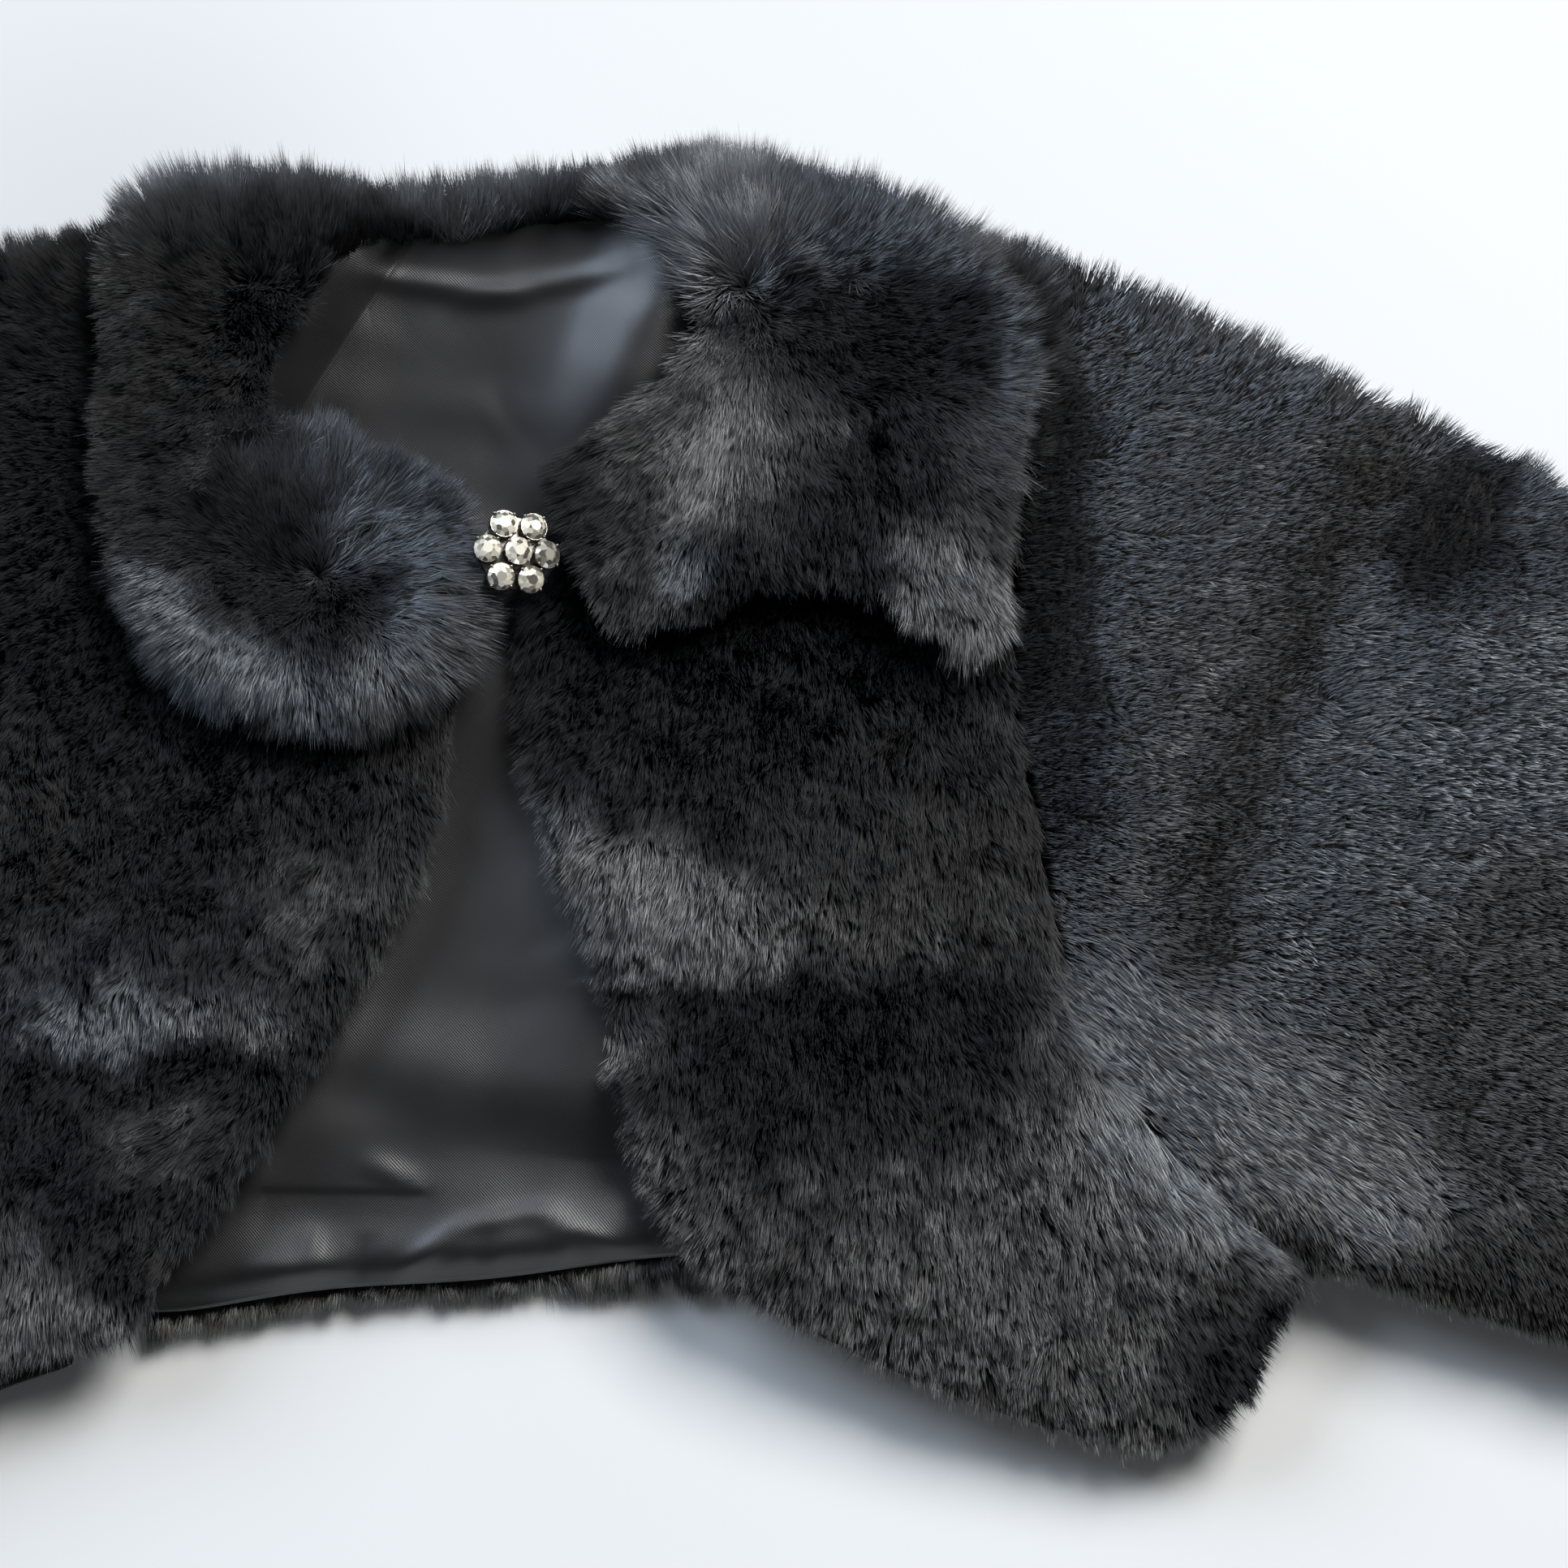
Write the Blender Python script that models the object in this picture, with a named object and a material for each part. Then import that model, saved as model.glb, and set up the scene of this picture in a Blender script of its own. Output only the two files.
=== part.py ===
"""Fur bolero with a rhinestone flower button, laid flat on its back.

Metres, +Z up, the neck towards +Y. The tables below are in millimetres, with X
measured from the middle of the neck and Y from a line across the chest.
"""

import math
from collections import namedtuple

import bmesh
import bpy
import numpy as np
from mathutils import Matrix, Vector
from mathutils.bvhtree import BVHTree

MM = 0.001

# Driving sizes, in millimetres

BACK_WALL = 10.0  # backing and pile, pressed by what lies on it
FRONT_WALL = 12.0
COLLAR_WALL = 12.0
SLEEVE_TOP = 25.0  # height of a sleeve that lies flat
SLEEVE_UPPER_WALL = 12.0
SLEEVE_LOWER_WALL = 10.0
LINING_WALL = 1.2
SLEEVE_LENGTH = 300.0  # along its upper fold, from shoulder tip to cuff
SLEEVE_SLOPE = 24.0  # degrees below level
CUFF_WIDTH = 172.0  # laid flat
SEAM_GAP = 0.3
LAY_GAP = 0.5  # between a piece and what it lies on
FREE_ROUND = 12.0  # how far in from a free edge the pile rounds over
FREE_LEAST = 3.0  # what is left of the wall at a free edge
FREE_LIFT = 3.0  # how far the underside rises at a free edge
SEAM_ROUND = 8.0
SEAM_LEAST = 7.0
FACING_DEPTHS = (4.5, 2.0, 0.0, -3.0)  # in from the hem, and out past it
FACING_SHARES = (0.22, 0.8)  # the stretch of a hem below which its facing shows
UNDER_SHARE = 0.5  # how much of a ridge the underside follows
REST_REACHES = (5.0, 10.0)  # how far round a point its rest is felt out
CLEAR_ABOVE = 100.0  # a height above every piece

STONE_RADIUS = 2.75
STONE_DEPTH = 2.0
STONE_CROWN = 1.5
STONE_TABLE = 1.9
STONE_GIRDLE = 0.4
STONE_SIDES = 12
CUP_RADIUS = 3.3
CUP_FLOOR = 0.4
CUP_RIM = 0.1  # above the stone's girdle
CUP_SIDES = 16
PETAL_COUNT = 6
PETAL_RING = 7.2
PETAL_TILT = 10.0  # degrees
PETAL_DROP = 1.0
PETAL_START = 57.0  # degrees from +X to the first petal
PLATE_RADIUS = 8.5
PLATE_CROWN_RADIUS = 3.0
PLATE_CROWN = -2.45
PLATE_EDGE = -3.6
PLATE_BOTTOM = -4.8
SHANK_RADIUS = 1.5
SHANK_SHARE = 0.4  # of the button's height, about where the shank's foot comes to
BUTTON_REACHES = (1.0, 2.0)
BUTTON_PLACE = (3.0, 58.0)
BUTTON_TILT = 18.0  # degrees, its right side down

# Counts of points along the edges of the walls

ARMHOLE_POINTS = 20
SIDE_POINTS = 7
FRONT_COLUMNS = 14
BACK_COLUMNS = 20
COLLAR_ACROSS = 9
COLLAR_ALONG = 31
LINING_COLUMNS = 16
LINING_ROWS = 20
FACING_COLUMNS = 14
SLEEVE_RINGS = 13
CURVE_STEPS = 24
EDGE_CROWDING = 0.6  # 0 spaces points evenly, 1 crowds them at both ends
RING_SAMPLES = 8
RIM_SAMPLES = 32
MERGE_DISTANCE = 0.001  # millimetres

Point = namedtuple("Point", "x y")
Section = namedtuple("Section", "inner_x inner_y outer_x outer_y")
Fold = namedtuple("Fold", "x1 y1 x2 y2 half_width rise")


def route(*places):
    return [Point(*place) for place in places]


# Seams of the wearer's left side, at +X. The other side mirrors them.

ARMHOLE = route(
    (128, 129), (127, 105), (122, 76), (119, 45), (118, 27), (122, 8),
    (127, -19), (130, -42), (136, -56), (151, -76), (170, -95), (187, -109),
)
SIDE_SEAM = route((187, -109), (184, -123), (180, -140))

# Free edges, each run from its upper or left end

RIGHT_SHOULDER = route((41, 147), (71, 147), (100, 139), (128, 129))
RIGHT_FRONT_EDGE = route(
    (41, 147), (47, 114), (24, 88), (3, 70), (-2, 57), (-3, 40), (0, 19), (4, 4),
    (10, -13), (17, -36), (21, -63), (28, -81), (43, -107),
)
RIGHT_HEM = route(
    (43, -107), (71, -122), (100, -136), (128, -146), (151, -152), (165, -149), (180, -140),
)
LEFT_SHOULDER = route((-128, 129), (-109, 137), (-85, 146), (-45, 146))
LEFT_FRONT_EDGE = route(
    (-45, 146), (-56, 106), (-46, 84), (-25, 76), (-11, 61), (-6, 42), (-8, 27), (-11, 9),
    (-16, -11), (-33, -47), (-54, -82), (-67, -100), (-84, -123),
)
LEFT_HEM = route(
    (-180, -140), (-165, -149), (-151, -152), (-130, -146), (-119, -141), (-100, -133), (-84, -123),
)
BACK_TOP = route(
    (-128, 129), (-100, 140), (-81, 146), (-47, 145), (-28, 141), (-15, 140), (-5, 142),
    (12, 148), (41, 152), (71, 148), (100, 139), (128, 129),
)
BACK_HEM = route(
    (-180, -140), (-138, -134), (-85, -124), (-43, -116), (-5, -113), (26, -111), (43, -108),
    (81, -115), (128, -127), (180, -140),
)
LINING_TOP = route((-62, 127), (-30, 133), (33, 135), (54, 127))
LINING_LEFT = route((-62, 127), (-70, 60), (-88, -38), (-104, -110))
LINING_RIGHT = route((54, 127), (66, 50), (75, -40), (84, -106))
LINING_HEM = route((-104, -110), (-83, -117), (-43, -111), (-5, -109), (43, -103), (84, -106))

# Collar halves, a section for each stretch from the centre back to the front end

COLLAR_RIGHT = [
    Section(-15, 133, -16, 143),
    Section(3, 134, 0, 147),
    Section(18, 135, 18, 153),
    Section(32, 135, 40, 157),
    Section(38, 130, 71, 151),
    Section(40, 125, 98, 142),
    Section(41, 120, 117, 129),
    Section(41, 116, 124, 104),
    Section(39, 112, 121, 76),
    Section(36, 108, 116, 35),
    Section(32, 104, 103, 37),
    Section(28, 100, 92, 50),
    Section(22, 95, 78, 53),
    Section(16, 91, 62, 48),
    Section(11, 86, 43, 41),
    Section(10, 80, 30, 40),
    Section(11, 71, 23, 43),
    Section(14, 63, 18, 51),
]
COLLAR_LEFT = [
    Section(-15, 133, -16, 143),
    Section(-22, 133, -28, 144),
    Section(-29, 131, -46, 148),
    Section(-37, 125, -66, 149),
    Section(-43, 118, -86, 147),
    Section(-48, 111, -98, 136),
    Section(-51, 104, -98, 118),
    Section(-52, 97, -98, 100),
    Section(-51, 90, -97, 80),
    Section(-46, 87, -94, 61),
    Section(-40, 85, -88, 46),
    Section(-34, 84, -79, 31),
    Section(-28, 83, -61, 20),
    Section(-22, 80, -42, 18),
    Section(-16, 76, -25, 23),
    Section(-11, 70, -13, 32),
    Section(-9, 64, -9, 41),
    Section(-8, 58, -8, 50),
]

# Folds: a ridge has a positive rise, a trough a negative one

RIGHT_FRONT_FOLDS = [
    Fold(14, -19, 90, -18, 14, 7),
    Fold(20, -41, 126, -42, 9, -4),
    Fold(32, -67, 112, -64, 20, 4),
    Fold(5, 30, 105, 28, 12, -2),
    Fold(140, -64, 178, -98, 14, 4),
    Fold(70, -102, 150, -126, 18, 3),
]
LEFT_FRONT_FOLDS = [
    Fold(-104, -47, -48, -42, 11, 6),
    Fold(-118, -63, -50, -61, 8, -4),
    Fold(-56, -23, -18, -19, 10, 3),
    Fold(-92, -75, -72, -78, 8, 3),
    Fold(-120, -90, -88, -118, 6, -3),
    Fold(-108, -112, -128, -126, 15, 4),
]
RIGHT_COLLAR_FOLDS = [
    Fold(30, 146, 95, 137, 13, 3),
    Fold(46, 119, 52, 117, 9, -4),
    Fold(64, 115, 112, 110, 14, -4),
    Fold(44, 94, 54, 60, 15, 5),
    Fold(84, 98, 80, 70, 7, -4),
    Fold(80, 70, 66, 55, 7, -3),
    Fold(100, 84, 107, 55, 14, 5),
]
LEFT_COLLAR_FOLDS = [
    Fold(-38, 56, -34, 54, 9, -3),
    Fold(-84, 58, -64, 34, 12, 4),
    Fold(-64, 34, -34, 32, 12, 4),
    Fold(-34, 32, -16, 50, 11, 4),
    Fold(-84, 128, -78, 86, 16, -2),
]
SLEEVE_FOLDS = [
    Fold(208, 89, 193, 38, 10, -4),
    Fold(193, 38, 162, -28, 10, -4),
    Fold(233, -48, 214, -95, 10, -3),
    Fold(226, 24, 204, -28, 20, 4),
    Fold(147, 80, 142, 10, 20, 3),
    Fold(268, 40, 250, -40, 14, -3),
    Fold(318, 20, 300, -70, 18, 3),
    Fold(356, 6, 330, -96, 13, -3),
]
LINING_FOLDS = [
    Fold(-30, 138, 34, 140, 8, 6),
    Fold(-44, 124, -62, 98, 10, 5),
    Fold(42, 126, 22, 92, 9, 4),
    Fold(-54, -76, -20, -79, 7, 3),
    Fold(-70, -109, -46, -106, 5, 2.5),
    Fold(-30, -103, 8, -101, 5, 3),
    Fold(16, -98, 36, -96, 5, 2),
]


def mirrored(points):
    return [Point(-point.x, point.y) for point in points]


# Curves and grids in plan

def crowded(count):
    """Values from 0 to 1, closer together near both ends."""
    even = np.linspace(0.0, 1.0, count)
    return (1 - EDGE_CROWDING) * even + EDGE_CROWDING * (0.5 - 0.5 * np.cos(math.pi * even))


def through(rows):
    """A dense smooth curve that passes through every row of a table."""
    rows = np.array(rows, float)
    ends = np.vstack([2 * rows[0] - rows[1], rows, 2 * rows[-1] - rows[-2]])
    t = np.linspace(0.0, 1.0, CURVE_STEPS, endpoint=False)[:, None]
    stretches = []
    for a, b, c, d in zip(ends, ends[1:], ends[2:], ends[3:]):
        bend = (2 * a - 5 * b + 4 * c - d) * t**2 + (3 * b - a - 3 * c + d) * t**3
        stretches.append(0.5 * (2 * b + (c - a) * t + bend))
    return np.vstack(stretches + [rows[-1:]])


def along(curve, shares):
    """Points at the given shares of a dense curve's length."""
    steps = np.linalg.norm(np.diff(curve, axis=0), axis=1)
    length = np.concatenate([[0.0], np.cumsum(steps)])
    return np.stack([np.interp(shares * length[-1], length, axis) for axis in curve.T], axis=1)


def edge(points, count):
    return along(through(points), crowded(count))


def patch(top, bottom, left, right):
    """A grid in plan that fills four edges. Rows run from top to bottom, columns from left to right."""
    def shares(points):
        steps = np.linalg.norm(np.diff(points, axis=0), axis=1)
        return np.concatenate([[0.0], np.cumsum(steps)]) / steps.sum()

    u = (0.5 * (shares(top) + shares(bottom)))[None, :, None]
    v = (0.5 * (shares(left) + shares(right)))[:, None, None]
    across = (1 - v) * top[None] + v * bottom[None]
    down = (1 - u) * left[:, None] + u * right[:, None]
    corners = (1 - v) * ((1 - u) * top[0] + u * top[-1]) + v * ((1 - u) * bottom[0] + u * bottom[-1])
    return across + down - corners


def distance_to(points, path):
    """How far each point of a grid is from a path in plan."""
    flat = points.reshape(-1, 2)
    start, run = path[:-1], np.diff(path, axis=0)
    offset = flat[:, None] - start[None]
    share = (offset * run).sum(2) / (run * run).sum(1)
    nearest = offset - share.clip(0, 1)[..., None] * run
    return np.linalg.norm(nearest, axis=2).min(axis=1).reshape(points.shape[:-1])


def relief(points, folds):
    """The height that ridges and troughs add at each point of a grid."""
    total = np.zeros(points.shape[:-1])
    for fold in folds:
        path = np.array([(fold.x1, fold.y1), (fold.x2, fold.y2)], float)
        total += fold.rise * np.exp(-((distance_to(points, path) / fold.half_width) ** 2))
    return total


def rounded(distance, reach):
    """0 at an edge, rising along a quarter circle to 1 at the given reach."""
    share = (distance / reach).clip(0, 1)
    return np.sqrt(1 - (1 - share) ** 2)


def wall_at(points, wall, free_edges, seams):
    """The wall's thickness over a grid, thinner towards its edges, and the free edges' rounding."""
    free = rounded(np.min([distance_to(points, path) for path in free_edges], axis=0), FREE_ROUND)
    thick = FREE_LEAST + (wall - FREE_LEAST) * free
    if seams:
        sewn = rounded(np.min([distance_to(points, path) for path in seams], axis=0), SEAM_ROUND)
        thick = np.minimum(thick, SEAM_LEAST + (wall - SEAM_LEAST) * sewn)
    return thick, free


# Solids

def with_height(plan, height):
    return np.concatenate([plan, height[..., None]], axis=2)


def new_object(name, bm, material, parent):
    bmesh.ops.recalc_face_normals(bm, faces=bm.faces[:])
    mesh = bpy.data.meshes.new(name)
    bm.to_mesh(mesh)
    bm.free()
    mesh.materials.append(material)
    obj = bpy.data.objects.new(name, mesh)
    obj.parent = parent
    bpy.context.scene.collection.objects.link(obj)
    return obj


def wall_solid(name, under, over, material, parent):
    """A closed wall: its underside is a grid, which is extruded up to its outer surface."""
    rows, columns = under.shape[:2]
    bm = bmesh.new()
    bmesh.ops.create_grid(bm, x_segments=columns - 1, y_segments=rows - 1, size=1.0)
    row_of = bm.verts.layers.int.new("row")
    column_of = bm.verts.layers.int.new("column")
    for vert in bm.verts:
        vert[row_of] = round((1 - vert.co.y) / 2 * (rows - 1))
        vert[column_of] = round((1 + vert.co.x) / 2 * (columns - 1))
    raised = bmesh.ops.extrude_face_region(bm, geom=bm.faces[:])["geom"]
    upper = {element for element in raised if isinstance(element, bmesh.types.BMVert)}
    for vert in bm.verts:
        surface = over if vert in upper else under
        vert.co = Vector(surface[vert[row_of], vert[column_of]]) * MM
    return new_object(name, bm, material, parent)


def resting_height(points, below, least, reaches=REST_REACHES):
    """The height of what lies below each point, felt out over small rings, plus the gap it is laid with."""
    trees = []
    for obj in below:
        corners = [vert.co / MM for vert in obj.data.vertices]
        trees.append(BVHTree.FromPolygons(corners, [face.vertices[:] for face in obj.data.polygons]))
    turns = [2 * math.pi * i / RING_SAMPLES for i in range(RING_SAMPLES)]
    ring = [(0.0, 0.0)] + [(r * math.cos(a), r * math.sin(a)) for r in reaches for a in turns]
    heights = np.full(points.shape[:-1], float(least))
    for index in np.ndindex(*points.shape[:-1]):
        for dx, dy in ring:
            start = Vector((points[index][0] + dx, points[index][1] + dy, CLEAR_ABOVE))
            for tree in trees:
                hit = tree.ray_cast(start, Vector((0.0, 0.0, -1.0)))[0]
                if hit is not None:
                    heights[index] = max(heights[index], hit.z + LAY_GAP)
    return heights


def make_back(material, parent):
    """The back panel, fur side down, from armhole to armhole."""
    sides = ARMHOLE, SIDE_SEAM
    left, right = side_edge([mirrored(s) for s in sides]), side_edge(sides)
    top, hem = edge(BACK_TOP, BACK_COLUMNS), edge(BACK_HEM, BACK_COLUMNS)
    plan = patch(top, hem, left, right)
    thick, free = wall_at(plan, BACK_WALL, [top, hem], [left, right])
    under = FREE_LIFT * (1 - free)
    over = np.minimum(under + thick, BACK_WALL)
    return wall_solid("back", with_height(plan, under), with_height(plan, over), material, parent)


def make_lining(back, material, parent):
    """The satin that shows in the neck and between the fronts, lying on the back."""
    plan = patch(
        edge(LINING_TOP, LINING_COLUMNS),
        edge(LINING_HEM, LINING_COLUMNS),
        edge(LINING_LEFT, LINING_ROWS),
        edge(LINING_RIGHT, LINING_ROWS),
    )
    under = resting_height(plan, [back], 0.0) + relief(plan, LINING_FOLDS).clip(0)
    over = under + LINING_WALL
    return wall_solid("back_lining", with_height(plan, under), with_height(plan, over), material, parent)


def side_edge(parts):
    """Armhole and side seam as one edge, pulled in by half a seam gap."""
    armhole, side = parts
    line = np.vstack([edge(armhole, ARMHOLE_POINTS), edge(side, SIDE_POINTS)[1:]])
    return line - [math.copysign(0.5 * SEAM_GAP, line[0, 0]), 0.0]


def make_front(name, shoulder, hem, left, right, seam, folds, below, material, parent):
    """A front panel, fur side up, from its shoulder and armhole to its free edge and hem."""
    top, bottom = edge(shoulder, FRONT_COLUMNS), edge(hem, FRONT_COLUMNS)
    plan = patch(top, bottom, left, right)
    free_edge = right if seam is left else left
    thick, free = wall_at(plan, FRONT_WALL, [bottom, free_edge], [top, seam])
    lift = relief(plan, folds)
    rest = resting_height(plan, below, BACK_WALL + LAY_GAP)
    under = rest + UNDER_SHARE * lift.clip(0) * free + FREE_LIFT * (1 - free)
    over = rest + FREE_LIFT * (1 - free) + thick + lift * free
    return wall_solid(name, with_height(plan, under), with_height(plan, over), material, parent)


def make_collar(name, sections, seam_side, folds, below, material, parent):
    """Half of the fur collar, from the centre-back seam round the neck to its front end."""
    rows = along(through(sections), np.linspace(0.0, 1.0, COLLAR_ALONG))
    share = crowded(COLLAR_ACROSS)[None, :, None]
    plan = (1 - share) * rows[:, None, :2] + share * rows[:, None, 2:]
    plan[0, :, 0] += seam_side * 0.5 * SEAM_GAP
    thick, free = wall_at(plan, COLLAR_WALL, [plan[:, 0], plan[:, -1], plan[-1]], [])
    lift = relief(plan, folds)
    rest = resting_height(plan, below, BACK_WALL + LAY_GAP)
    under = rest + UNDER_SHARE * lift.clip(0) * free + FREE_LIFT * (1 - free)
    over = rest + FREE_LIFT * (1 - free) + thick + lift * free
    return wall_solid(name, with_height(plan, under), with_height(plan, over), material, parent)


def make_sleeve(name, side, material, parent):
    """A sleeve that lies flat: a tube from the armhole to the cuff, with a slit for its inside."""
    armhole = edge(ARMHOLE, ARMHOLE_POINTS) + [0.5 * SEAM_GAP, 0.0]
    slope = math.radians(SLEEVE_SLOPE)
    reach = np.array([math.cos(slope), -math.sin(slope)])
    cuff_top = armhole[0] + SLEEVE_LENGTH * reach
    cuff_low = cuff_top + CUFF_WIDTH * np.array([reach[1], -reach[0]])
    shares = crowded(ARMHOLE_POINTS)[:, None]
    cuff = (1 - shares) * cuff_top + shares * cuff_low
    rings = np.linspace(0.0, 1.0, SLEEVE_RINGS)[:, None]
    plan = patch(
        (1 - rings) * armhole[0] + rings * cuff_top,
        (1 - rings) * armhole[-1] + rings * cuff_low,
        armhole,
        cuff,
    ).transpose(1, 0, 2)
    folds = relief(plan, SLEEVE_FOLDS)
    near_fold = np.minimum(distance_to(plan, plan[:, 0]), distance_to(plan, plan[:, -1]))
    round_off = rounded(near_fold, SLEEVE_TOP / 2)
    near_end = np.minimum(distance_to(plan, plan[0]), distance_to(plan, plan[-1]))
    middle = 0.5 * SLEEVE_TOP
    sewn = SLEEVE_TOP - SEAM_LEAST * (1 - rounded(near_end, SEAM_ROUND))
    over = middle + (sewn + folds - middle) * round_off
    under = middle * (1 - round_off)
    slit = SLEEVE_TOP - SLEEVE_UPPER_WALL - SLEEVE_LOWER_WALL
    inset = 0.5 * SLEEVE_TOP / CUFF_WIDTH
    inner_plan = plan + (plan[:, ::-1] - plan) * inset
    inner_over = np.full(over.shape, SLEEVE_LOWER_WALL + slit)
    inner_under = np.full(over.shape, SLEEVE_LOWER_WALL)
    inner_over[:, [0, -1]] = inner_under[:, [0, -1]] = SLEEVE_LOWER_WALL + 0.5 * slit

    def loops(grid, upper, lower):
        front = with_height(grid, upper)
        behind = with_height(grid, lower)[:, -2:0:-1]
        ring = np.concatenate([front, behind], axis=1)
        ring[..., 0] *= side
        return ring

    bm = bmesh.new()
    outer = ring_verts(bm, loops(plan, over, under))
    inner = ring_verts(bm, loops(inner_plan, inner_over, inner_under))
    for skin in (outer, inner):
        for first, second in zip(skin, skin[1:]):
            join_rings(bm, first, second)
    join_rings(bm, outer[0], inner[0])
    join_rings(bm, outer[-1], inner[-1])
    return new_object(name, bm, material, parent)


def ring_verts(bm, rings):
    return [[bm.verts.new(Vector(point) * MM) for point in ring] for ring in rings]


def join_rings(bm, first, second):
    count = len(first)
    for i in range(count):
        after = (i + 1) % count
        bm.faces.new((first[i], first[after], second[after], second[i]))


# Flower button

def turned(bm, profile, sides, place):
    """A profile of radius and height turned about an axis, as a closed body set in its place."""
    start = [bm.verts.new((radius * MM, 0.0, height * MM)) for radius, height in profile]
    edges = [bm.edges.new(pair) for pair in zip(start, start[1:])]
    bmesh.ops.spin(
        bm,
        geom=start + edges,
        axis=(0.0, 0.0, 1.0),
        cent=(0.0, 0.0, 0.0),
        angle=2 * math.pi,
        steps=sides,
        use_merge=True,
    )
    bmesh.ops.remove_doubles(bm, verts=bm.verts[:], dist=MERGE_DISTANCE * MM)
    bmesh.ops.transform(bm, matrix=place, verts=bm.verts[:])


def petal_places():
    """Where the centre stone and the petals sit on the button, as matrices in metres."""
    places = [Matrix.Identity(4)]
    for i in range(PETAL_COUNT):
        turn = Matrix.Rotation(math.radians(PETAL_START) + 2 * math.pi * i / PETAL_COUNT, 4, "Z")
        out = Matrix.Translation((PETAL_RING * MM, 0.0, -PETAL_DROP * MM))
        places.append(turn @ out @ Matrix.Rotation(math.radians(PETAL_TILT), 4, "Y"))
    return places


def make_stones(material, parent):
    profile = [
        (0.0, -STONE_DEPTH),
        (STONE_RADIUS, 0.0),
        (STONE_RADIUS, STONE_GIRDLE),
        (STONE_TABLE, STONE_CROWN),
        (0.0, STONE_CROWN),
    ]
    names = ["stone_centre"] + [f"stone_petal_{i + 1}" for i in range(PETAL_COUNT)]
    for name, place in zip(names, petal_places()):
        bm = bmesh.new()
        turned(bm, profile, STONE_SIDES, place)
        new_object(name, bm, material, parent)


def make_setting(shank_end, material, parent):
    """The button's metal: a domed plate on a shank, with a cup for each stone."""
    floor = -STONE_DEPTH - SEAM_GAP
    bore = STONE_RADIUS + SEAM_GAP
    cup = [
        (0.0, floor),
        (bore, floor),
        (bore, CUP_RIM),
        (CUP_RADIUS, CUP_RIM),
        (CUP_RADIUS, floor - CUP_FLOOR),
        (0.0, floor - CUP_FLOOR),
    ]
    plate = [
        (0.0, PLATE_CROWN),
        (PLATE_CROWN_RADIUS, PLATE_CROWN),
        (PLATE_RADIUS, PLATE_EDGE),
        (PLATE_RADIUS, PLATE_BOTTOM),
        (SHANK_RADIUS, PLATE_BOTTOM),
        (SHANK_RADIUS, shank_end),
        (0.0, shank_end),
    ]
    bm = bmesh.new()
    turned(bm, plate, CUP_SIDES, Matrix.Identity(4))
    setting = new_object("button_setting", bm, material, parent)
    for i, place in enumerate(petal_places()):
        bm = bmesh.new()
        turned(bm, cup, CUP_SIDES, place)
        cutter = new_object(f"cup_{i}", bm, material, parent)
        cutter.hide_render = True
        cutter.display_type = "WIRE"
        union = setting.modifiers.new(f"cup_{i}", "BOOLEAN")
        union.operation = "UNION"
        union.object = cutter
    return setting


def make_button(below, metal, crystal, parent):
    """The flower button, tilted on the collar ends, with its shank reaching the front beneath."""
    tilt = Matrix.Rotation(math.radians(BUTTON_TILT), 4, "Y")
    turns = np.linspace(0.0, 2 * math.pi, RIM_SAMPLES, endpoint=False)
    radii = (PLATE_RADIUS, PETAL_RING + CUP_RADIUS)
    rim = [Vector((r * math.cos(a), r * math.sin(a), PLATE_BOTTOM)) for r in radii for a in turns]
    rim = np.array([tilt @ corner for corner in rim])
    rest = resting_height(rim[:, :2] + BUTTON_PLACE, below, 0.0, BUTTON_REACHES)
    height = float((rest - rim[:, 2]).max())
    lean = math.radians(BUTTON_TILT)
    foot = np.array([BUTTON_PLACE]) - [height * SHANK_SHARE * math.sin(lean), 0.0]
    seat = resting_height(foot, below, 0.0, (SHANK_RADIUS,))[0] + SHANK_RADIUS * math.sin(lean)
    shank_end = (seat - height) / math.cos(lean)
    holder = bpy.data.objects.new("button", None)
    holder.parent = parent
    holder.location = Vector((*BUTTON_PLACE, height)) * MM
    holder.rotation_euler = tilt.to_euler()
    bpy.context.scene.collection.objects.link(holder)
    make_setting(shank_end, metal, holder)
    make_stones(crystal, holder)


def make_facing(name, hem, material, parent):
    """The edge of a front's satin lining, which shows below its hem where the front overhangs the back."""
    line = along(through(hem), np.linspace(*FACING_SHARES, FACING_COLUMNS))
    run = np.gradient(line, axis=0)
    outward = np.stack([run[:, 1], -run[:, 0]], axis=1)
    outward /= np.linalg.norm(outward, axis=1)[:, None]
    depth = np.array(FACING_DEPTHS)[:, None]
    plan = line[None] - depth[..., None] * outward[None]
    height = BACK_WALL + FREE_LIFT * (1 - rounded(depth, FREE_ROUND)) + np.zeros(plan.shape[:2])
    under = with_height(plan, height - LINING_WALL)
    return wall_solid(name, under, with_height(plan, height), material, parent)


def centre_on_origin(garment):
    """Moves the garment so that the origin is below its middle, on the surface that it lies on."""
    bpy.context.view_layer.update()
    solids = [obj for obj in bpy.data.objects if obj.type == "MESH" and not obj.hide_render]
    corners = np.array([obj.matrix_world @ Vector(corner) for obj in solids for corner in obj.bound_box])
    middle = 0.5 * (corners.min(axis=0) + corners.max(axis=0))
    garment.location = (-middle[0], -middle[1], -corners[:, 2].min())


# Finishes

def new_material(name, colour, roughness, metallic=0.0):
    material = bpy.data.materials.new(name)
    material.use_nodes = True
    surface = material.node_tree.nodes["Principled BSDF"]
    surface.inputs["Base Color"].default_value = (*colour, 1.0)
    surface.inputs["Roughness"].default_value = roughness
    surface.inputs["Metallic"].default_value = metallic
    return material


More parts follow.
